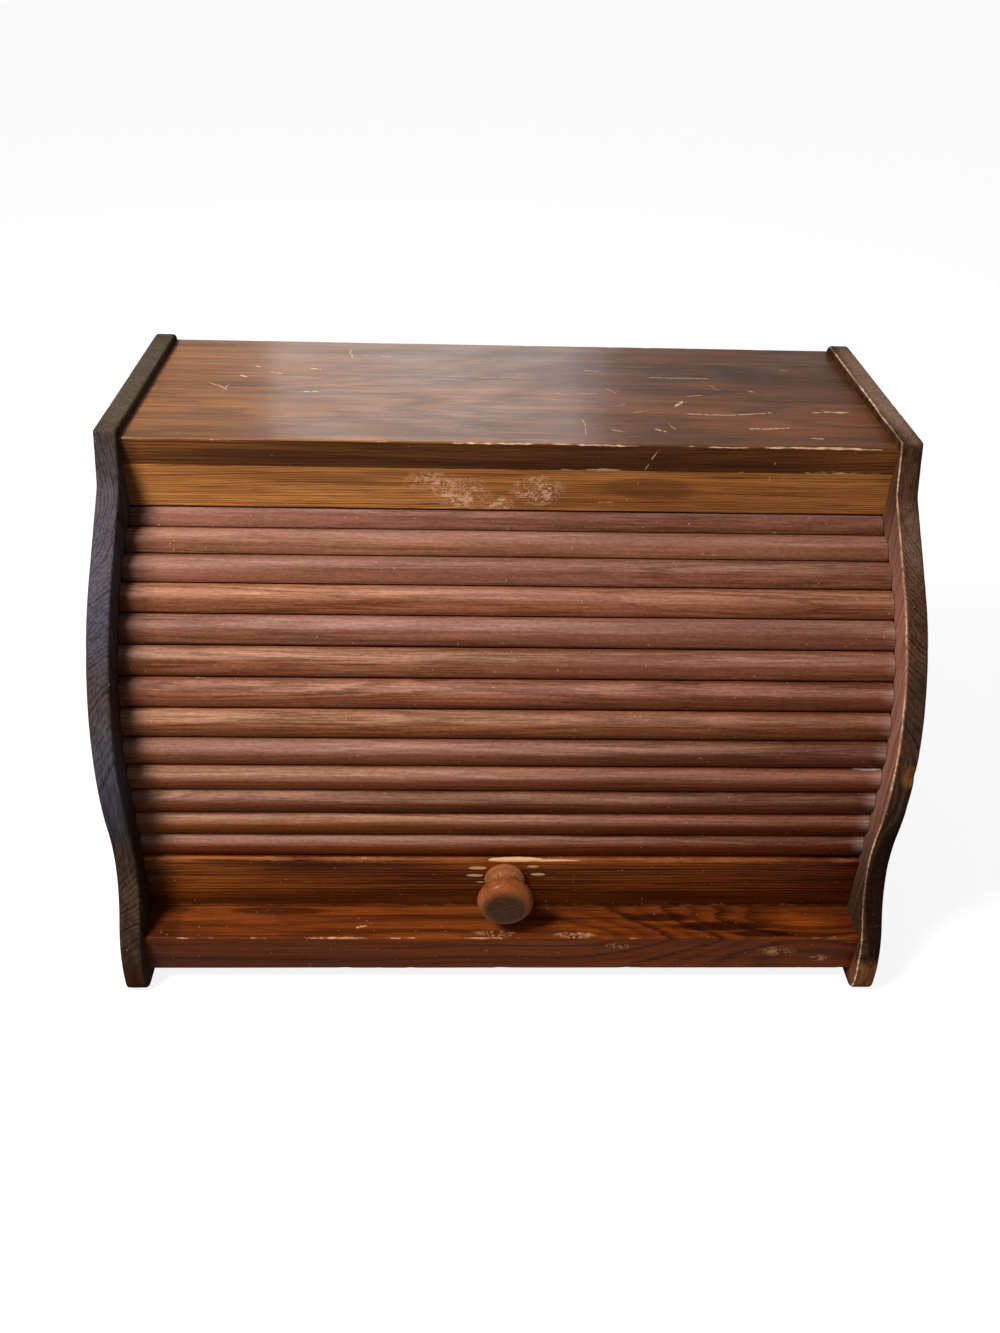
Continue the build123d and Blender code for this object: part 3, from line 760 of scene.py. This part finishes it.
def canvas_cloth():
    """Cotton duck stiffened with glue: plain weave, yellowed, with glue smears."""
    s = Shader("canvas")
    x, y, z = s.split(s.coordinates)
    thread = 2 * math.pi / 0.0009
    warp = s.math("SINE", s.math("MULTIPLY", x, thread))
    weft = s.math("SINE", s.math("MULTIPLY", s.math("ADD", y, z), thread))
    weave = s.math("MULTIPLY", warp, weft)
    uneven = s.noise(s.coordinates, (60, 400, 400), 2, 0.6)
    smear = s.noise(s.coordinates, (14, 30, 30), 3, 0.6)
    color = s.mix(s.step(smear, 0.4, 0.65), srgb(176, 158, 126), srgb(142, 118, 84))
    color = s.mix(s.step(weave, -0.2, 0.9, 0, 0.35), color, srgb(206, 192, 164))
    color = s.mix(s.step(uneven, 0.5, 0.8, 0, 0.4), color, srgb(104, 84, 58))
    s.surface(Base_Color=color, Roughness=s.step(smear, 0.4, 0.7, 0.92, 0.66),
              Normal=s.bump(s.math("ADD", weave, uneven), 0.00018, 0.7))
    return s.material


def zinc():
    """Zinc-plated steel, dulled and a little stained."""
    s = Shader("screw_steel")
    cloud = s.noise(s.coordinates, (300, 300, 300), 3, 0.6)
    color = s.mix(s.step(cloud, 0.35, 0.7), srgb(176, 172, 162), srgb(128, 120, 106))
    fine = s.noise(s.coordinates, (1800, 1800, 1800), 1, 0.5)
    s.surface(Base_Color=color, Metallic=1, Roughness=s.step(cloud, 0.3, 0.7, 0.28, 0.5),
              Normal=s.bump(fine, 0.00004, 0.5))
    return s.material


# -------- the box

FACING_FRONT = -0.72


def dress(thing, material, body=None, replaced=(), front=None):
    """Give a piece its material and, if it is new, its body and what it stands for."""
    thing.data.materials.clear()
    thing.data.materials.append(material)
    if front:
        thing.data.materials.append(front)
        for face in thing.data.polygons:
            if face.normal.y < FACING_FRONT:
                face.material_index = 1
    if body:
        even = thing.modifiers.new("even", "WEIGHTED_NORMAL")
        even.keep_sharp = True
        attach(thing, body)
    if replaced:
        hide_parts(*replaced)


# scratches as (from, to, width): the top board's by (X, Y) and the fascia's by (X, Z)
TOP_SCRATCHES = [((x, y, TOP_FACE), (to_x, to_y, TOP_FACE), width) for x, y, to_x, to_y, width in (
    (-95.7, 120.1, -94.2, 106.2, 0.55), (-88, 111.4, -84, 110.6, 0.4), (-76, 110.4, -71, 109.2, 0.7),
    (-155.5, 73.6, -151.6, 71.6, 1), (-148.6, 89.4, -146.1, 88.4, 0.8), (-138.7, 80.5, -131.8, 78.5, 0.7),
    (-116, 86.5, -111, 85.1, 1.1), (-116, 50.9, -109.1, 51.1, 1.1), (-172.4, 62.7, -166.4, 58.8, 0.5),
    (-165.4, 58.8, -160.5, 52.8, 0.6), (-159.5, 59.8, -162.5, 53.8, 0.45), (84.7, 82, 118.4, 80.9, 0.55),
    (97.6, 26.5, 124.3, 26.3, 0.7), (124.3, 26.3, 147, 30.6, 0.6), (93.6, 38, 98.6, 44.9, 1.2),
    (170.8, 32.1, 190.5, 33.1, 0.9), (175.7, 35, 187.6, 30.6, 0.4), (118.4, 70.6, 122.3, 62.7, 0.35),
    (139.1, 62.7, 143.1, 61.3, 0.7), (165.8, 98.3, 171.8, 96.7, 0.4), (46.2, 92.4, 55.1, 91, 0.5),
    (77.8, 4.4, 82.8, 2, 0.9), (54.1, 3.4, 61, 1, 0.5), (160.9, -3.5, 166.8, -5.1, 0.7),
    (130.2, 7.4, 151, 8.9, 0.9), (57.1, 62.7, 62, 54.8, 0.3), (39.3, 17.2, 39.8, -2.5, 0.3),
    (65, 39, 59, 37, 0.4), (110.4, 54.8, 102.5, 52.8, 0.4), (68.9, 28.1, 76.8, 29.5, 0.35),
    (86.7, 13.3, 88.7, 5.4, 0.35), (-20.1, 76.6, 5.6, 78.5, 0.25), (19.5, 52.8, 51.1, 55.8, 0.25),
    (-59.6, 23.2, -30, 20.2, 0.22), (-138.7, 13.3, -117, 15.3, 0.22))]
FASCIA_SCRATCHES = [((x, TOP_FRONT, z), (to_x, TOP_FRONT, to_z), width) for x, z, to_x, to_z, width in (
    (76.8, 289, 61.4, 255, 0.3), (140, 284, 137, 268, 0.25), (36, 257, 62, 258, 0.35),
    (-30, 262, -38, 270, 0.3))]
TOP_RUBBED = [(-34, 200, 0.5), (-76, -64, 0.5), (0, 60, 0.2)]

# Painted reflection: the blue-grey of the sky on the left panel's front edge.
SKY_REFLECTION_GREY = (88, 90, 106)
PALE_TOP = (226, 186, 146)
PANEL_GRAIN = {"grain": "Z", "waves": 0.8, "contrast": 1.2, "specular": 0}

panel_left_wood = wood(
    "panel_wood_left", (84, 64, 50), (62, 47, 38), (28, 21, 17), 11, 1.5, (-40, -236), 0.4, 0.01,
    stain=0.45, worn=0.26, pale=(214, 176, 136), dust=0.3, **PANEL_GRAIN,
    zones=[((-210, 60, 297), (16, 110, 9), 0.65, (98, 92, 74)),
           # the two blue-grey zones are a painted reflection of the sky on the front edge
           ((-210, -96, 252), (16, 120, 84), 0.52, SKY_REFLECTION_GREY),
           ((-210, -128, 146), (16, 40, 74), 0.6, SKY_REFLECTION_GREY),
           ((-210, -136, 12), (16, 22, 18), 0.85, (62, 30, 13))])
panel_right_wood = wood(
    "panel_wood_right", (94, 64, 46), (64, 43, 31), (30, 20, 14), 12, 1.5, (-30, 246), 0.4, 0.01, worn=0.6,
    pale=(232, 200, 164), dust=0.4, rim=((208, 168, 132), 0.85), **PANEL_GRAIN,
    zones=[((214, -112, 146), (7, 12, 9), 0.75, (158, 98, 44)),
           ((211, -98, 180), (10, 30, 34), 0.5, (46, 39, 35)),
           ((204, -60, 160), (2.2, 90, 130), 0.75, (172, 116, 97)),
           ((214, -116, 66), (9.5, 44, 58), 0.95, (28, 16, 9), 0.25),
           ((214, -116, 62), (9.5, 44, 50), 0.8, (28, 14, 7), 0.25),
           ((211, 60, 297), (9, 110, 6), 0.6, (184, 148, 122)),
           ((211, -137, 12), (16, 20, 17), 0.85, (150, 92, 56)),
           ((211, -62, 262), (12, 40, 30), 0.45, (140, 108, 92))])
base_wood = wood(
    "base_wood", (146, 72, 26), (110, 50, 18), (42, 17, 7), 21, 5.5, (-60, -70), 0.36, 0.05,
    # the tone towards the right is painted shade, where less light falls
    right_shade=(0.66, 0.58, 0.56), waves=1.3, contrast=1.15, stain=0.4, worn=0.4, dust=0.6, pale=(206, 150, 106),
    bend=[((186, -112, 36), (165, 70, 70), -40)],
    shade=[((92, -110, 36), (36, 5, 4), 0.8), ((126, -116, 36), (42, 6, 4), 0.8),
           ((150, -122, 36), (32, 4, 4), 0.8), ((-196, -112, 30), (22, 30, 26), 0.5),
           ((-130, -105, 36), (46, 6, 4), 0.7)],
    zones=[((0, -131, 22), (420, 8, 60), 0.45, (88, 40, 15), 0.25),
           ((176, -111, 36.4), (24, 11, 4), 0.55, (168, 80, 24), 0.8)],
    rubbed=[(-204, 204, 0.14), (-150, -60, 0.1), (20, 70, 0.22)],
    lines=[((-84.5, -117.4, 36.4), (-76.5, -114.6, 36.4), 0.7)],
    scuffs=[((-6, -122, 36.4), (18, 4, 3)), ((40, -123, 36.4), (18, 3.5, 3)),
            ((66, -125.5, 30), (12, 3, 4)), ((158, -125.5, 26), (16, 3, 6)),
            ((184, -125.5, 20), (10, 3, 4))])
top_wood = wood(
    "top_wood", (158, 103, 60), (126, 82, 49), (64, 41, 27), 33, 3.4, (30, -75), 0.34, 0.24, specular=0.1,
    # the tone towards the right is painted shade, where less light falls
    right_shade=(0.54, 0.44, 0.36), feather=1.1, waves=1.25, contrast=0.85, stain=0.66, worn=0.2,
    coat_roughness=0.15, lines=TOP_SCRATCHES, pale=PALE_TOP, rubbed=TOP_RUBBED, dust=0.45,
    shade=[((125, 92, TOP_FACE), (72, 20, 8), 0.45), ((-40, 118, TOP_FACE), (150, 10, 6), 0.5),
           ((150, 30, TOP_FACE), (50, 14, 8), 0.4), ((-120, 20, TOP_FACE), (40, 10, 6), -0.4),
           ((-150, 60, TOP_FACE), (34, 7, 6), 0.4), ((100, 60, TOP_FACE), (60, 8, 6), 0.5)],
    # the first zone is a painted sheen: the greyish reflection of the window over the back left
    zones=[((-60, 112, TOP_FACE), (190, 42, 6), 0.35, (118, 98, 84), 0.8),
           ((158, 18, TOP_FACE), (70, 34, 6), 0.5, (150, 84, 42), 0.8),
           ((-90, 22, TOP_FACE), (110, 30, 6), 0.1, (184, 130, 80), 0.8)])
top_edge_wood = wood(
    "top_edge_wood", (158, 100, 50), (126, 76, 37), (50, 26, 13), 34, 1.7, (-46, 236), 0.38, 0.03,
    # the tone towards the right is painted shade, where less light falls
    waves=0.5, contrast=1.2, worn=0.25, right_shade=(0.8, 0.7, 0.66), dust=0.4, lines=FASCIA_SCRATCHES,
    pale=PALE_TOP, rubbed=TOP_RUBBED,
    zones=[((15, TOP_FRONT, 282), (225, 8, 40), 0.95, (50, 26, 14), 0.5),
           ((-150, TOP_FRONT, 283), (52, 8, 5), 0.7, (60, 32, 16), 0.8),
           ((60, TOP_FRONT, 279), (150, 8, 7), 0.5, (42, 21, 10), 0.6),
           # the last zone is painted shade at the left end, against the left panel
           ((-206, TOP_FRONT, 280), (14, 8, 26), 0.6, (40, 20, 10))])
fascia_wood = wood(
    "fascia_wood", (194, 128, 68), (158, 98, 50), (80, 42, 18), 41, 1.35, (-34, 190), 0.36, 0.06,
    # the tone towards the right is painted shade, where less light falls
    waves=0.55, contrast=1.1, stain=0.45, worn=0.2, lines=FASCIA_SCRATCHES, right_shade=(0.96, 0.92, 0.88),
    pale=(222, 172, 140), dust=0.4,
    scuffs=[((-27, TOP_FRONT, 262), (22, 6, 15)), ((14, TOP_FRONT, 264), (20, 6, 13)),
            ((-8, TOP_FRONT, 256), (14, 6, 7)), ((-44, TOP_FRONT, 268), (20, 6, 9))],
    shade=[((75, TOP_FRONT, 266), (38, 4, 10), 0.45)],
    # painted shade at the left end, against the left panel
    zones=[((-206, TOP_FRONT, 264), (16, 8, 26), 0.7, (40, 20, 10))])
rail_wood = wood(
    "rail_wood", (156, 82, 28), (108, 47, 15), (38, 13, 5), 51, 2.1, (-90, -40), 0.38, 0.04,
    # the tone towards the right is painted shade, and the lighter line along the top edge is a painted
    # highlight
    right_shade=(0.6, 0.48, 0.43), waves=0.42, contrast=1.45, feather=0.45, stain=0.6, worn=0.25,
    pale=(228, 178, 130), rim=((166, 104, 66), 0.55), dust=0.4,
    patches=[((6, RAIL_FACE, 73.4), (23, 5, 1.5)), ((24, RAIL_FACE, 73), (26, 5, 0.7)),
             ((-15.4, RAIL_FACE, 67.6), (7.2, 3, 1.7)), ((-17.2, RAIL_FACE, 61.8), (6.8, 3, 1.4)),
             ((15.8, RAIL_FACE, 68.8), (4.8, 3, 1.2)), ((19.2, RAIL_FACE, 62.6), (6, 3, 1.4)),
             ((-14, RAIL_FACE, 56.4), (3, 3, 0.6))],
    # the first zone is painted shade in the corner against the left panel
    zones=[((-206, RAIL_FACE, 56), (24, 8, 30), 0.85, (22, 9, 5)),
           ((0, RAIL_FACE, 42), (320, 8, 13), 0.75, (52, 17, 6))])
knob_wood = wood(
    "knob_wood", (160, 90, 46), (128, 68, 34), (66, 32, 15), 61, 1.3, (9, 38), 0.32, 0.07, specular=0.03,
    grain="Y", waves=0.5, contrast=0.5, stain=0.3, coat_roughness=0.2, pale=(222, 168, 116),
    zones=[((0, -126.5, 58.9), (16.2, 8, 15.6), 0.96, (40, 21, 9), 0.45),
           ((0, -126.5, 58.6), (13.6, 8, 13), 0.9, (40, 26, 10), 0.35),
           ((0, -103.4, 59.7), (14, 2.8, 14), 0.75, (206, 150, 100))])
dowel_wood = wood(
    "dowel_wood", (202, 166, 118), (186, 146, 98), (142, 100, 60), 65, 1.2, (20, 20), 0.7, 0, contrast=0.5,
    stain=0.2, worn=0)
# thin plywood with wiped stain and broad rotary grain running upright
back_plywood = wood(
    "back_plywood", (150, 104, 62), (126, 82, 46), (88, 52, 28), 71, 9, (60, -180), 0.55, 0.05, grain="Z",
    waves=3.2, contrast=0.6, worn=0.1)
canvas_material = canvas_cloth()
screw_material = zinc()

# side panels, with their dents as (place, width, depth, side that is hit)
LEFT_NOTCHES = [((-133.5, 6), 3.0, 0.6, 0), ((-107, 205), 4.0, 0.4, 1)]
RIGHT_NOTCHES = [((-113.6, 146), 3.2, 1.3, 1), ((-62, 236), 4.0, 0.7, 0), ((-84, 216), 3.0, 0.6, 0),
                 ((-112, 120), 4.0, 0.5, 0), ((-133, 24), 4.0, 0.8, 0), ((20, 295), 5.0, 0.7, 0)]
left = side_panel("worn_left_panel", -1, 3.0, LEFT_NOTCHES)
right = side_panel("worn_right_panel", 1, 17.0, RIGHT_NOTCHES)
dress(left, panel_left_wood, "cabinet", ["left_panel"])
dress(right, panel_right_wood, "cabinet", ["right_panel"])

# boards
base = swept("worn_base_board", [((BASE_FRONT, BASE_LOW), 0.9), ((BASE_FRONT, BASE_TOP), 1.3),
                                 ((BACK_FACE, BASE_TOP), 0.3), ((BACK_FACE, BASE_LOW), 0.3)],
             HALF_CLEAR, 5)
dress(base, base_wood, "cabinet", ["base_board"])
top = swept("worn_top_board", [((TOP_FRONT, TOP_LOW), 0.35), ((TOP_FRONT, TOP_FACE), 1.2),
                               ((BACK, TOP_FACE), 0.9), ((BACK, TOP_LOW), 0.3)],
            HALF_CLEAR, 9, nick=0.6)
dress(top, top_wood, "cabinet", ["top_board"], top_edge_wood)
HOLLOW_STEPS = 6
hollow = [TOP_FRONT + (FASCIA_BACK - TOP_FRONT) * k / HOLLOW_STEPS for k in range(HOLLOW_STEPS + 1)]
hollow = [(y, CENTRE[1] + math.sqrt(FASCIA_ARC ** 2 - (CENTRE[0] - y) ** 2)) for y in hollow]
fascia = swept("worn_fascia", [(hollow[0], 0.6)] + [(p, 0) for p in hollow[1:-1]]
               + [(hollow[-1], 0.3), ((FASCIA_BACK, TOP_LOW), 0.3), ((TOP_FRONT, TOP_LOW), 0.35)],
               HALF_CLEAR, 13, nick=0.35)
dress(fascia, fascia_wood, "cabinet", ["fascia"])
dress(nodes["back_panel"], back_plywood)
for name in ("base_dowels", "top_dowels", "fascia_dowels"):
    dress(nodes[name], dowel_wood)

# lift rail, its knob and screw
RAIL_EDGE = RAIL_TOP - SLAT_GAP / 2
SCREW, HOLE, SINK = 1.8, 1.85, 3.85
SCREW_SEAT, SCREW_HEAD = -9.4, 2.4
rail = swept("worn_lift_rail", [((RAIL_FACE, RAIL_LOW), 0.5), ((RAIL_FACE, RAIL_EDGE), 3.2),
                                ((TRACK_Y - CANVAS_FACE, RAIL_EDGE), 0.2),
                                ((TRACK_Y - CANVAS_FACE, RAIL_LAP), 0), ((RAIL_BACK, RAIL_LAP), 0.5),
                                ((RAIL_BACK, RAIL_LOW), 0.5)], SLAT_HALF, 19, nick=0.35)
screw_hole = turned_body("hole", [(AXIS, 1), (HOLE, 1), (HOLE, SCREW_SEAT), (SINK, SCREW_SEAT),
                                  (SINK, -14), (AXIS, -14)], 32)
rail = cut(rail, [screw_hole])
dress(rail, rail_wood, "lift_rail", ["lift_rail"])
RIM_CENTRE, RIM_HEIGHT, RIM = 9.8, 18.08, 6.1
knob_profile = [(HOLE, 0), (10.9, 0), (11.4, 0.15), (11.6, 0.6), (11.6, 1.9), (11.3, 2.4), (10.6, 2.75),
                (9.4, 3.05), (8.2, 3.5), (7.4, 4.3), (6.8, 5.5), (6.52, 7.2), (6.6, 8.8), (7.0, 10.0),
                (7.7, 10.9), (8.7, 11.5), (9.8, 11.85)]
for degrees in range(-80, 61, 7):
    angle = math.radians(degrees)
    knob_profile.append((RIM_CENTRE + RIM * math.cos(angle), RIM_HEIGHT + RIM * math.sin(angle)))
knob_profile += [(12.3, 23.45), (11.6, 23.7), (9.0, 23.95), (6.0, 24.2), (3.0, 24.4), (AXIS, 24.45),
                 (AXIS, 15.0), (HOLE, 15.0)]
knob = turned_body("turned_knob", knob_profile)
dress(knob, knob_wood, "lift_rail", ["knob"])
screw_profile = [(AXIS, 14.0), (0.6, 13.2), (1.75, 11.6), (SCREW, 11.0), (SCREW, SCREW_SEAT)]
screw_profile += [(radius, SCREW_SEAT - depth) for radius, depth in (
    (3.6, 0), (3.78, 0.2), (3.8, 0.8), (3.55, 1.5), (2.9, 2.05), (1.7, 2.34), (AXIS, SCREW_HEAD))]
screw = turned_body("driven_screw", screw_profile, 48)
RECESS = RAIL_FACE - SCREW_SEAT + 1.1, RAIL_FACE - SCREW_SEAT + 4
bars = [prism("bar", box_outline(RECESS, (KNOB_Z - high / 2, KNOB_Z + high / 2)), -wide / 2, wide / 2)
        for wide, high in ((3.8, 0.75), (0.75, 3.8))]
screw = cut(screw, bars)
dress(screw, screw_material, "lift_rail", ["knob_screw"])
dress(nodes["rail_canvas"], canvas_material)


# slats and their canvas
def graded(start, gain, share):
    """Tone that changes by a share of its gain."""
    return tuple(a + b * share for a, b in zip(start, gain))


# The slats' colours are light and pinkish where they stand in for the sheen on the lit upper parts, a painted
# highlight; the painted shade darkens the lower parts.
SLAT_STAINS_AND_SHEEN = (((190, 142, 117), (-1, -0.9, -0.6)), ((170, 123, 98), (-1, -0.8, -0.5)),
               ((102, 64, 44), (0, 0, 0)))
SLAT_TONES = [(0, 0, 0), (8, 6, 2), (-10, -6, -4), (6, 2, 0), (-6, -2, 2), (10, 8, 4), (-4, -6, -4),
              (4, 4, 2), (-8, -4, 0), (12, 6, 0), (-2, 0, 2), (6, 6, 4), (-10, -8, -4), (2, 2, 0)]
for number in range(1, SLAT_COUNT + 1):
    seed = 100 + 7 * number
    rnd = random.Random(seed)
    y, z = HINGES[number - 1]
    height = (number - 1) / (SLAT_COUNT - 1)
    # Painted shade: the upper slats are made darker by their height.
    upper_shade = 32 * max(0.0, height - 0.35) / 0.65
    tone = [graded(graded(start, gain, upper_shade), SLAT_TONES[number - 1], 1) for start, gain in SLAT_STAINS_AND_SHEEN]
    slat_wood = wood(
        f"slat_wood_{number:02d}", *tone, seed, rnd.uniform(1.3, 2.2),
        (y + rnd.uniform(20, 60), z - rnd.uniform(10, 60)), 0.42, 0.03, waves=rnd.uniform(0.45, 0.9),
        # painted shade towards the right and over the lower part of each slat, and a painted sheen as the
        # pale veil
        feather=1.2, contrast=1.25, worn=0.12, right_shade=graded((0.54, 0.40, 0.34), (0.42, 0.52, 0.56), height),
        sheen_veil=((186, 138, 124), 0.40, (3.5, 60, 60)), dust=0.6,
        grime=(1.0, graded((0.45, 0.19, 0.05), (0.33, 0.47, 0.50), height)),
        pale=(208, 182, 166), rubbed=[(191, 206, 0.42)],
        # the first zone is a painted shadow of the left panel over the slat's left end; the pale one at the
        # right end is dust
        zones=[((-207, y, z), (26, 40, 40), 0.72, (22, 11, 8)),
               ((205, y - 8, z + 12), (11, 12, 9), 0.42, (206, 186, 178), 0.95)])
    piece = slat(number, seed)
    if number == CARRIER:
        tongue = [on_slat(number, u, v) for u, v in box_outline((SLAT_LOW, SLAT_HIGH),
                                                                (CANVAS_FACE, SLAT_SHOULDER))]
        far = HALF_CLEAR + GROOVE_DEPTH - TONGUE_ROOM
        piece = cut(piece, [prism("tongue", tongue, *sorted((side * (SLAT_HALF - 1), side * far)))
                            for side in (-1, 1)], "UNION")
    dress(piece, slat_wood, f"slat_{number:02d}", [f"slat_{number:02d}"])
    dress(nodes[f"canvas_{number:02d}"], canvas_material)

# nails that hold the back panel
NAIL_SIDES = 16
NAIL_HEAD = [(1.6, -0.6), (1.6, 0.15), (1.2, 0.35), (0.6, 0.45)]
nail_vertices, nail_faces = [], []
places = [(side * 207.0, z) for side in (-1, 1) for z in range(22, 263, 40)]
places += [(x, 23.0) for x in range(-160, 161, 80)]
for x, z in places:
    start = len(nail_vertices)
    nail_faces += [tuple(start + k for k in face) for face in skin(NAIL_SIDES, len(NAIL_HEAD))]
    for radius, rise in NAIL_HEAD:
        for k in range(NAIL_SIDES):
            angle = 2 * math.pi * k / NAIL_SIDES
            nail_vertices.append((x + radius * math.cos(angle), BACK + rise, z + radius * math.sin(angle)))
nails = make_object("panel_nails", nail_vertices, nail_faces)
dress(nails, screw_material, "cabinet")

# -------- camera, light and floor

FOCAL = 1158.5
PICTURE_HEIGHT = 1333.0
SENSOR = 36.0
PITCH, YAW, ROLL = math.radians(34.60), math.radians(-2.41), math.radians(1.855)
turn = Matrix.Rotation(ROLL, 3, "Z") @ Matrix.Rotation(PITCH, 3, "X") @ Matrix.Rotation(YAW, 3, "Y")
right_axis, down_axis, forward_axis = [Vector((row[0], row[2], -row[1])) for row in turn]
camera = bpy.data.cameras.new("camera")
camera.sensor_fit = "VERTICAL"
camera.sensor_width = camera.sensor_height = SENSOR
camera.lens = FOCAL * SENSOR / PICTURE_HEIGHT
camera_object = add_object("camera", camera)
axes = Matrix((right_axis, -down_axis, -forward_axis)).transposed().to_4x4()
camera_object.matrix_world = Matrix.Translation((-0.0267, -0.5800, 0.5382)) @ axes
bpy.context.scene.camera = camera_object


def area_light(name, place, target, size, power, color, stretch=None):
    """Soft lamp that looks at a place, in metres and watts."""
    light = bpy.data.lights.new(name, "AREA")
    light.energy = power
    light.color = color
    light.size = size
    if stretch:
        light.shape = "RECTANGLE"
        light.size_y = stretch
    lamp = add_object(name, light)
    lamp.location = place
    lamp.rotation_mode = "QUATERNION"
    lamp.rotation_quaternion = (Vector(target) - Vector(place)).to_track_quat("-Z", "Y")


area_light("key", (-0.64, -0.46, 1.05), (0, 0, 0.15), 0.32, 17.5, (1.0, 0.985, 0.96))
area_light("window", (-0.10, 1.6, 0.97), (0, 0, 0.28), 0.60, 2.4, (0.97, 0.97, 1.0), 0.45)
area_light("slit", (0.22, 1.6, 0.93), (0.04, 0, 0.28), 0.07, 0.17, (0.70, 0.78, 1.0), 0.5)

WHITE = (1, 1, 1, 1)
world = bpy.data.worlds.new("world")
bpy.context.scene.world = world
world.use_nodes = True
air = Nodes(world.node_tree)
path = air.node("ShaderNodeLightPath").outputs
mirrored = air.math("MAXIMUM", path["Is Glossy Ray"], path["Is Transmission Ray"])
rise = air.split(air.node("ShaderNodeTexCoord").outputs["Generated"])[2]


def background(color, strength):
    return air.made("ShaderNodeBackground", (("Color", color), ("Strength", strength)))


def choose(factor, no, yes):
    return air.made("ShaderNodeMixShader", enumerate((factor, no, yes)))


# the camera sees a white room, polished things see it white at the horizon and dimmer above
around = choose(mirrored, background((0.93, 0.96, 1.0, 1), 0.26),
                background(WHITE, air.step(rise, 0.10, 0.34, 1.0, 0.22)))
around = choose(path["Is Camera Ray"], around, background(WHITE, 1.0))
air.node("ShaderNodeOutputWorld", [(0, around)])

FLOOR_HALF = 30
floor_mesh = bpy.data.meshes.new("floor")
floor_mesh.from_pydata([(x * FLOOR_HALF, y * FLOOR_HALF, 0) for x, y in ((-1, -1), (1, -1), (1, 1), (-1, 1))],
                       [], [(0, 1, 2, 3)])
floor = add_object("floor", floor_mesh)
paper = Shader("floor")
paper.surface(Base_Color=(0.30, 0.30, 0.30, 1), Roughness=0.9)
FLOOR_GLOW = 0.86
seen = paper.node("ShaderNodeLightPath").outputs
shown = paper.math("MULTIPLY", seen["Is Camera Ray"], FLOOR_GLOW)
for ray in ("Is Glossy Ray", "Is Transmission Ray"):
    shown = paper.math("MULTIPLY_ADD", seen[ray], FLOOR_GLOW, shown)
glow = paper.made("ShaderNodeEmission", (("Color", WHITE), ("Strength", shown)))
paper.put(paper.output, 0, paper.made("ShaderNodeAddShader", enumerate((paper.bsdf.outputs[0], glow))))
floor.data.materials.append(paper.material)

bpy.context.scene.view_settings.view_transform = "Standard"
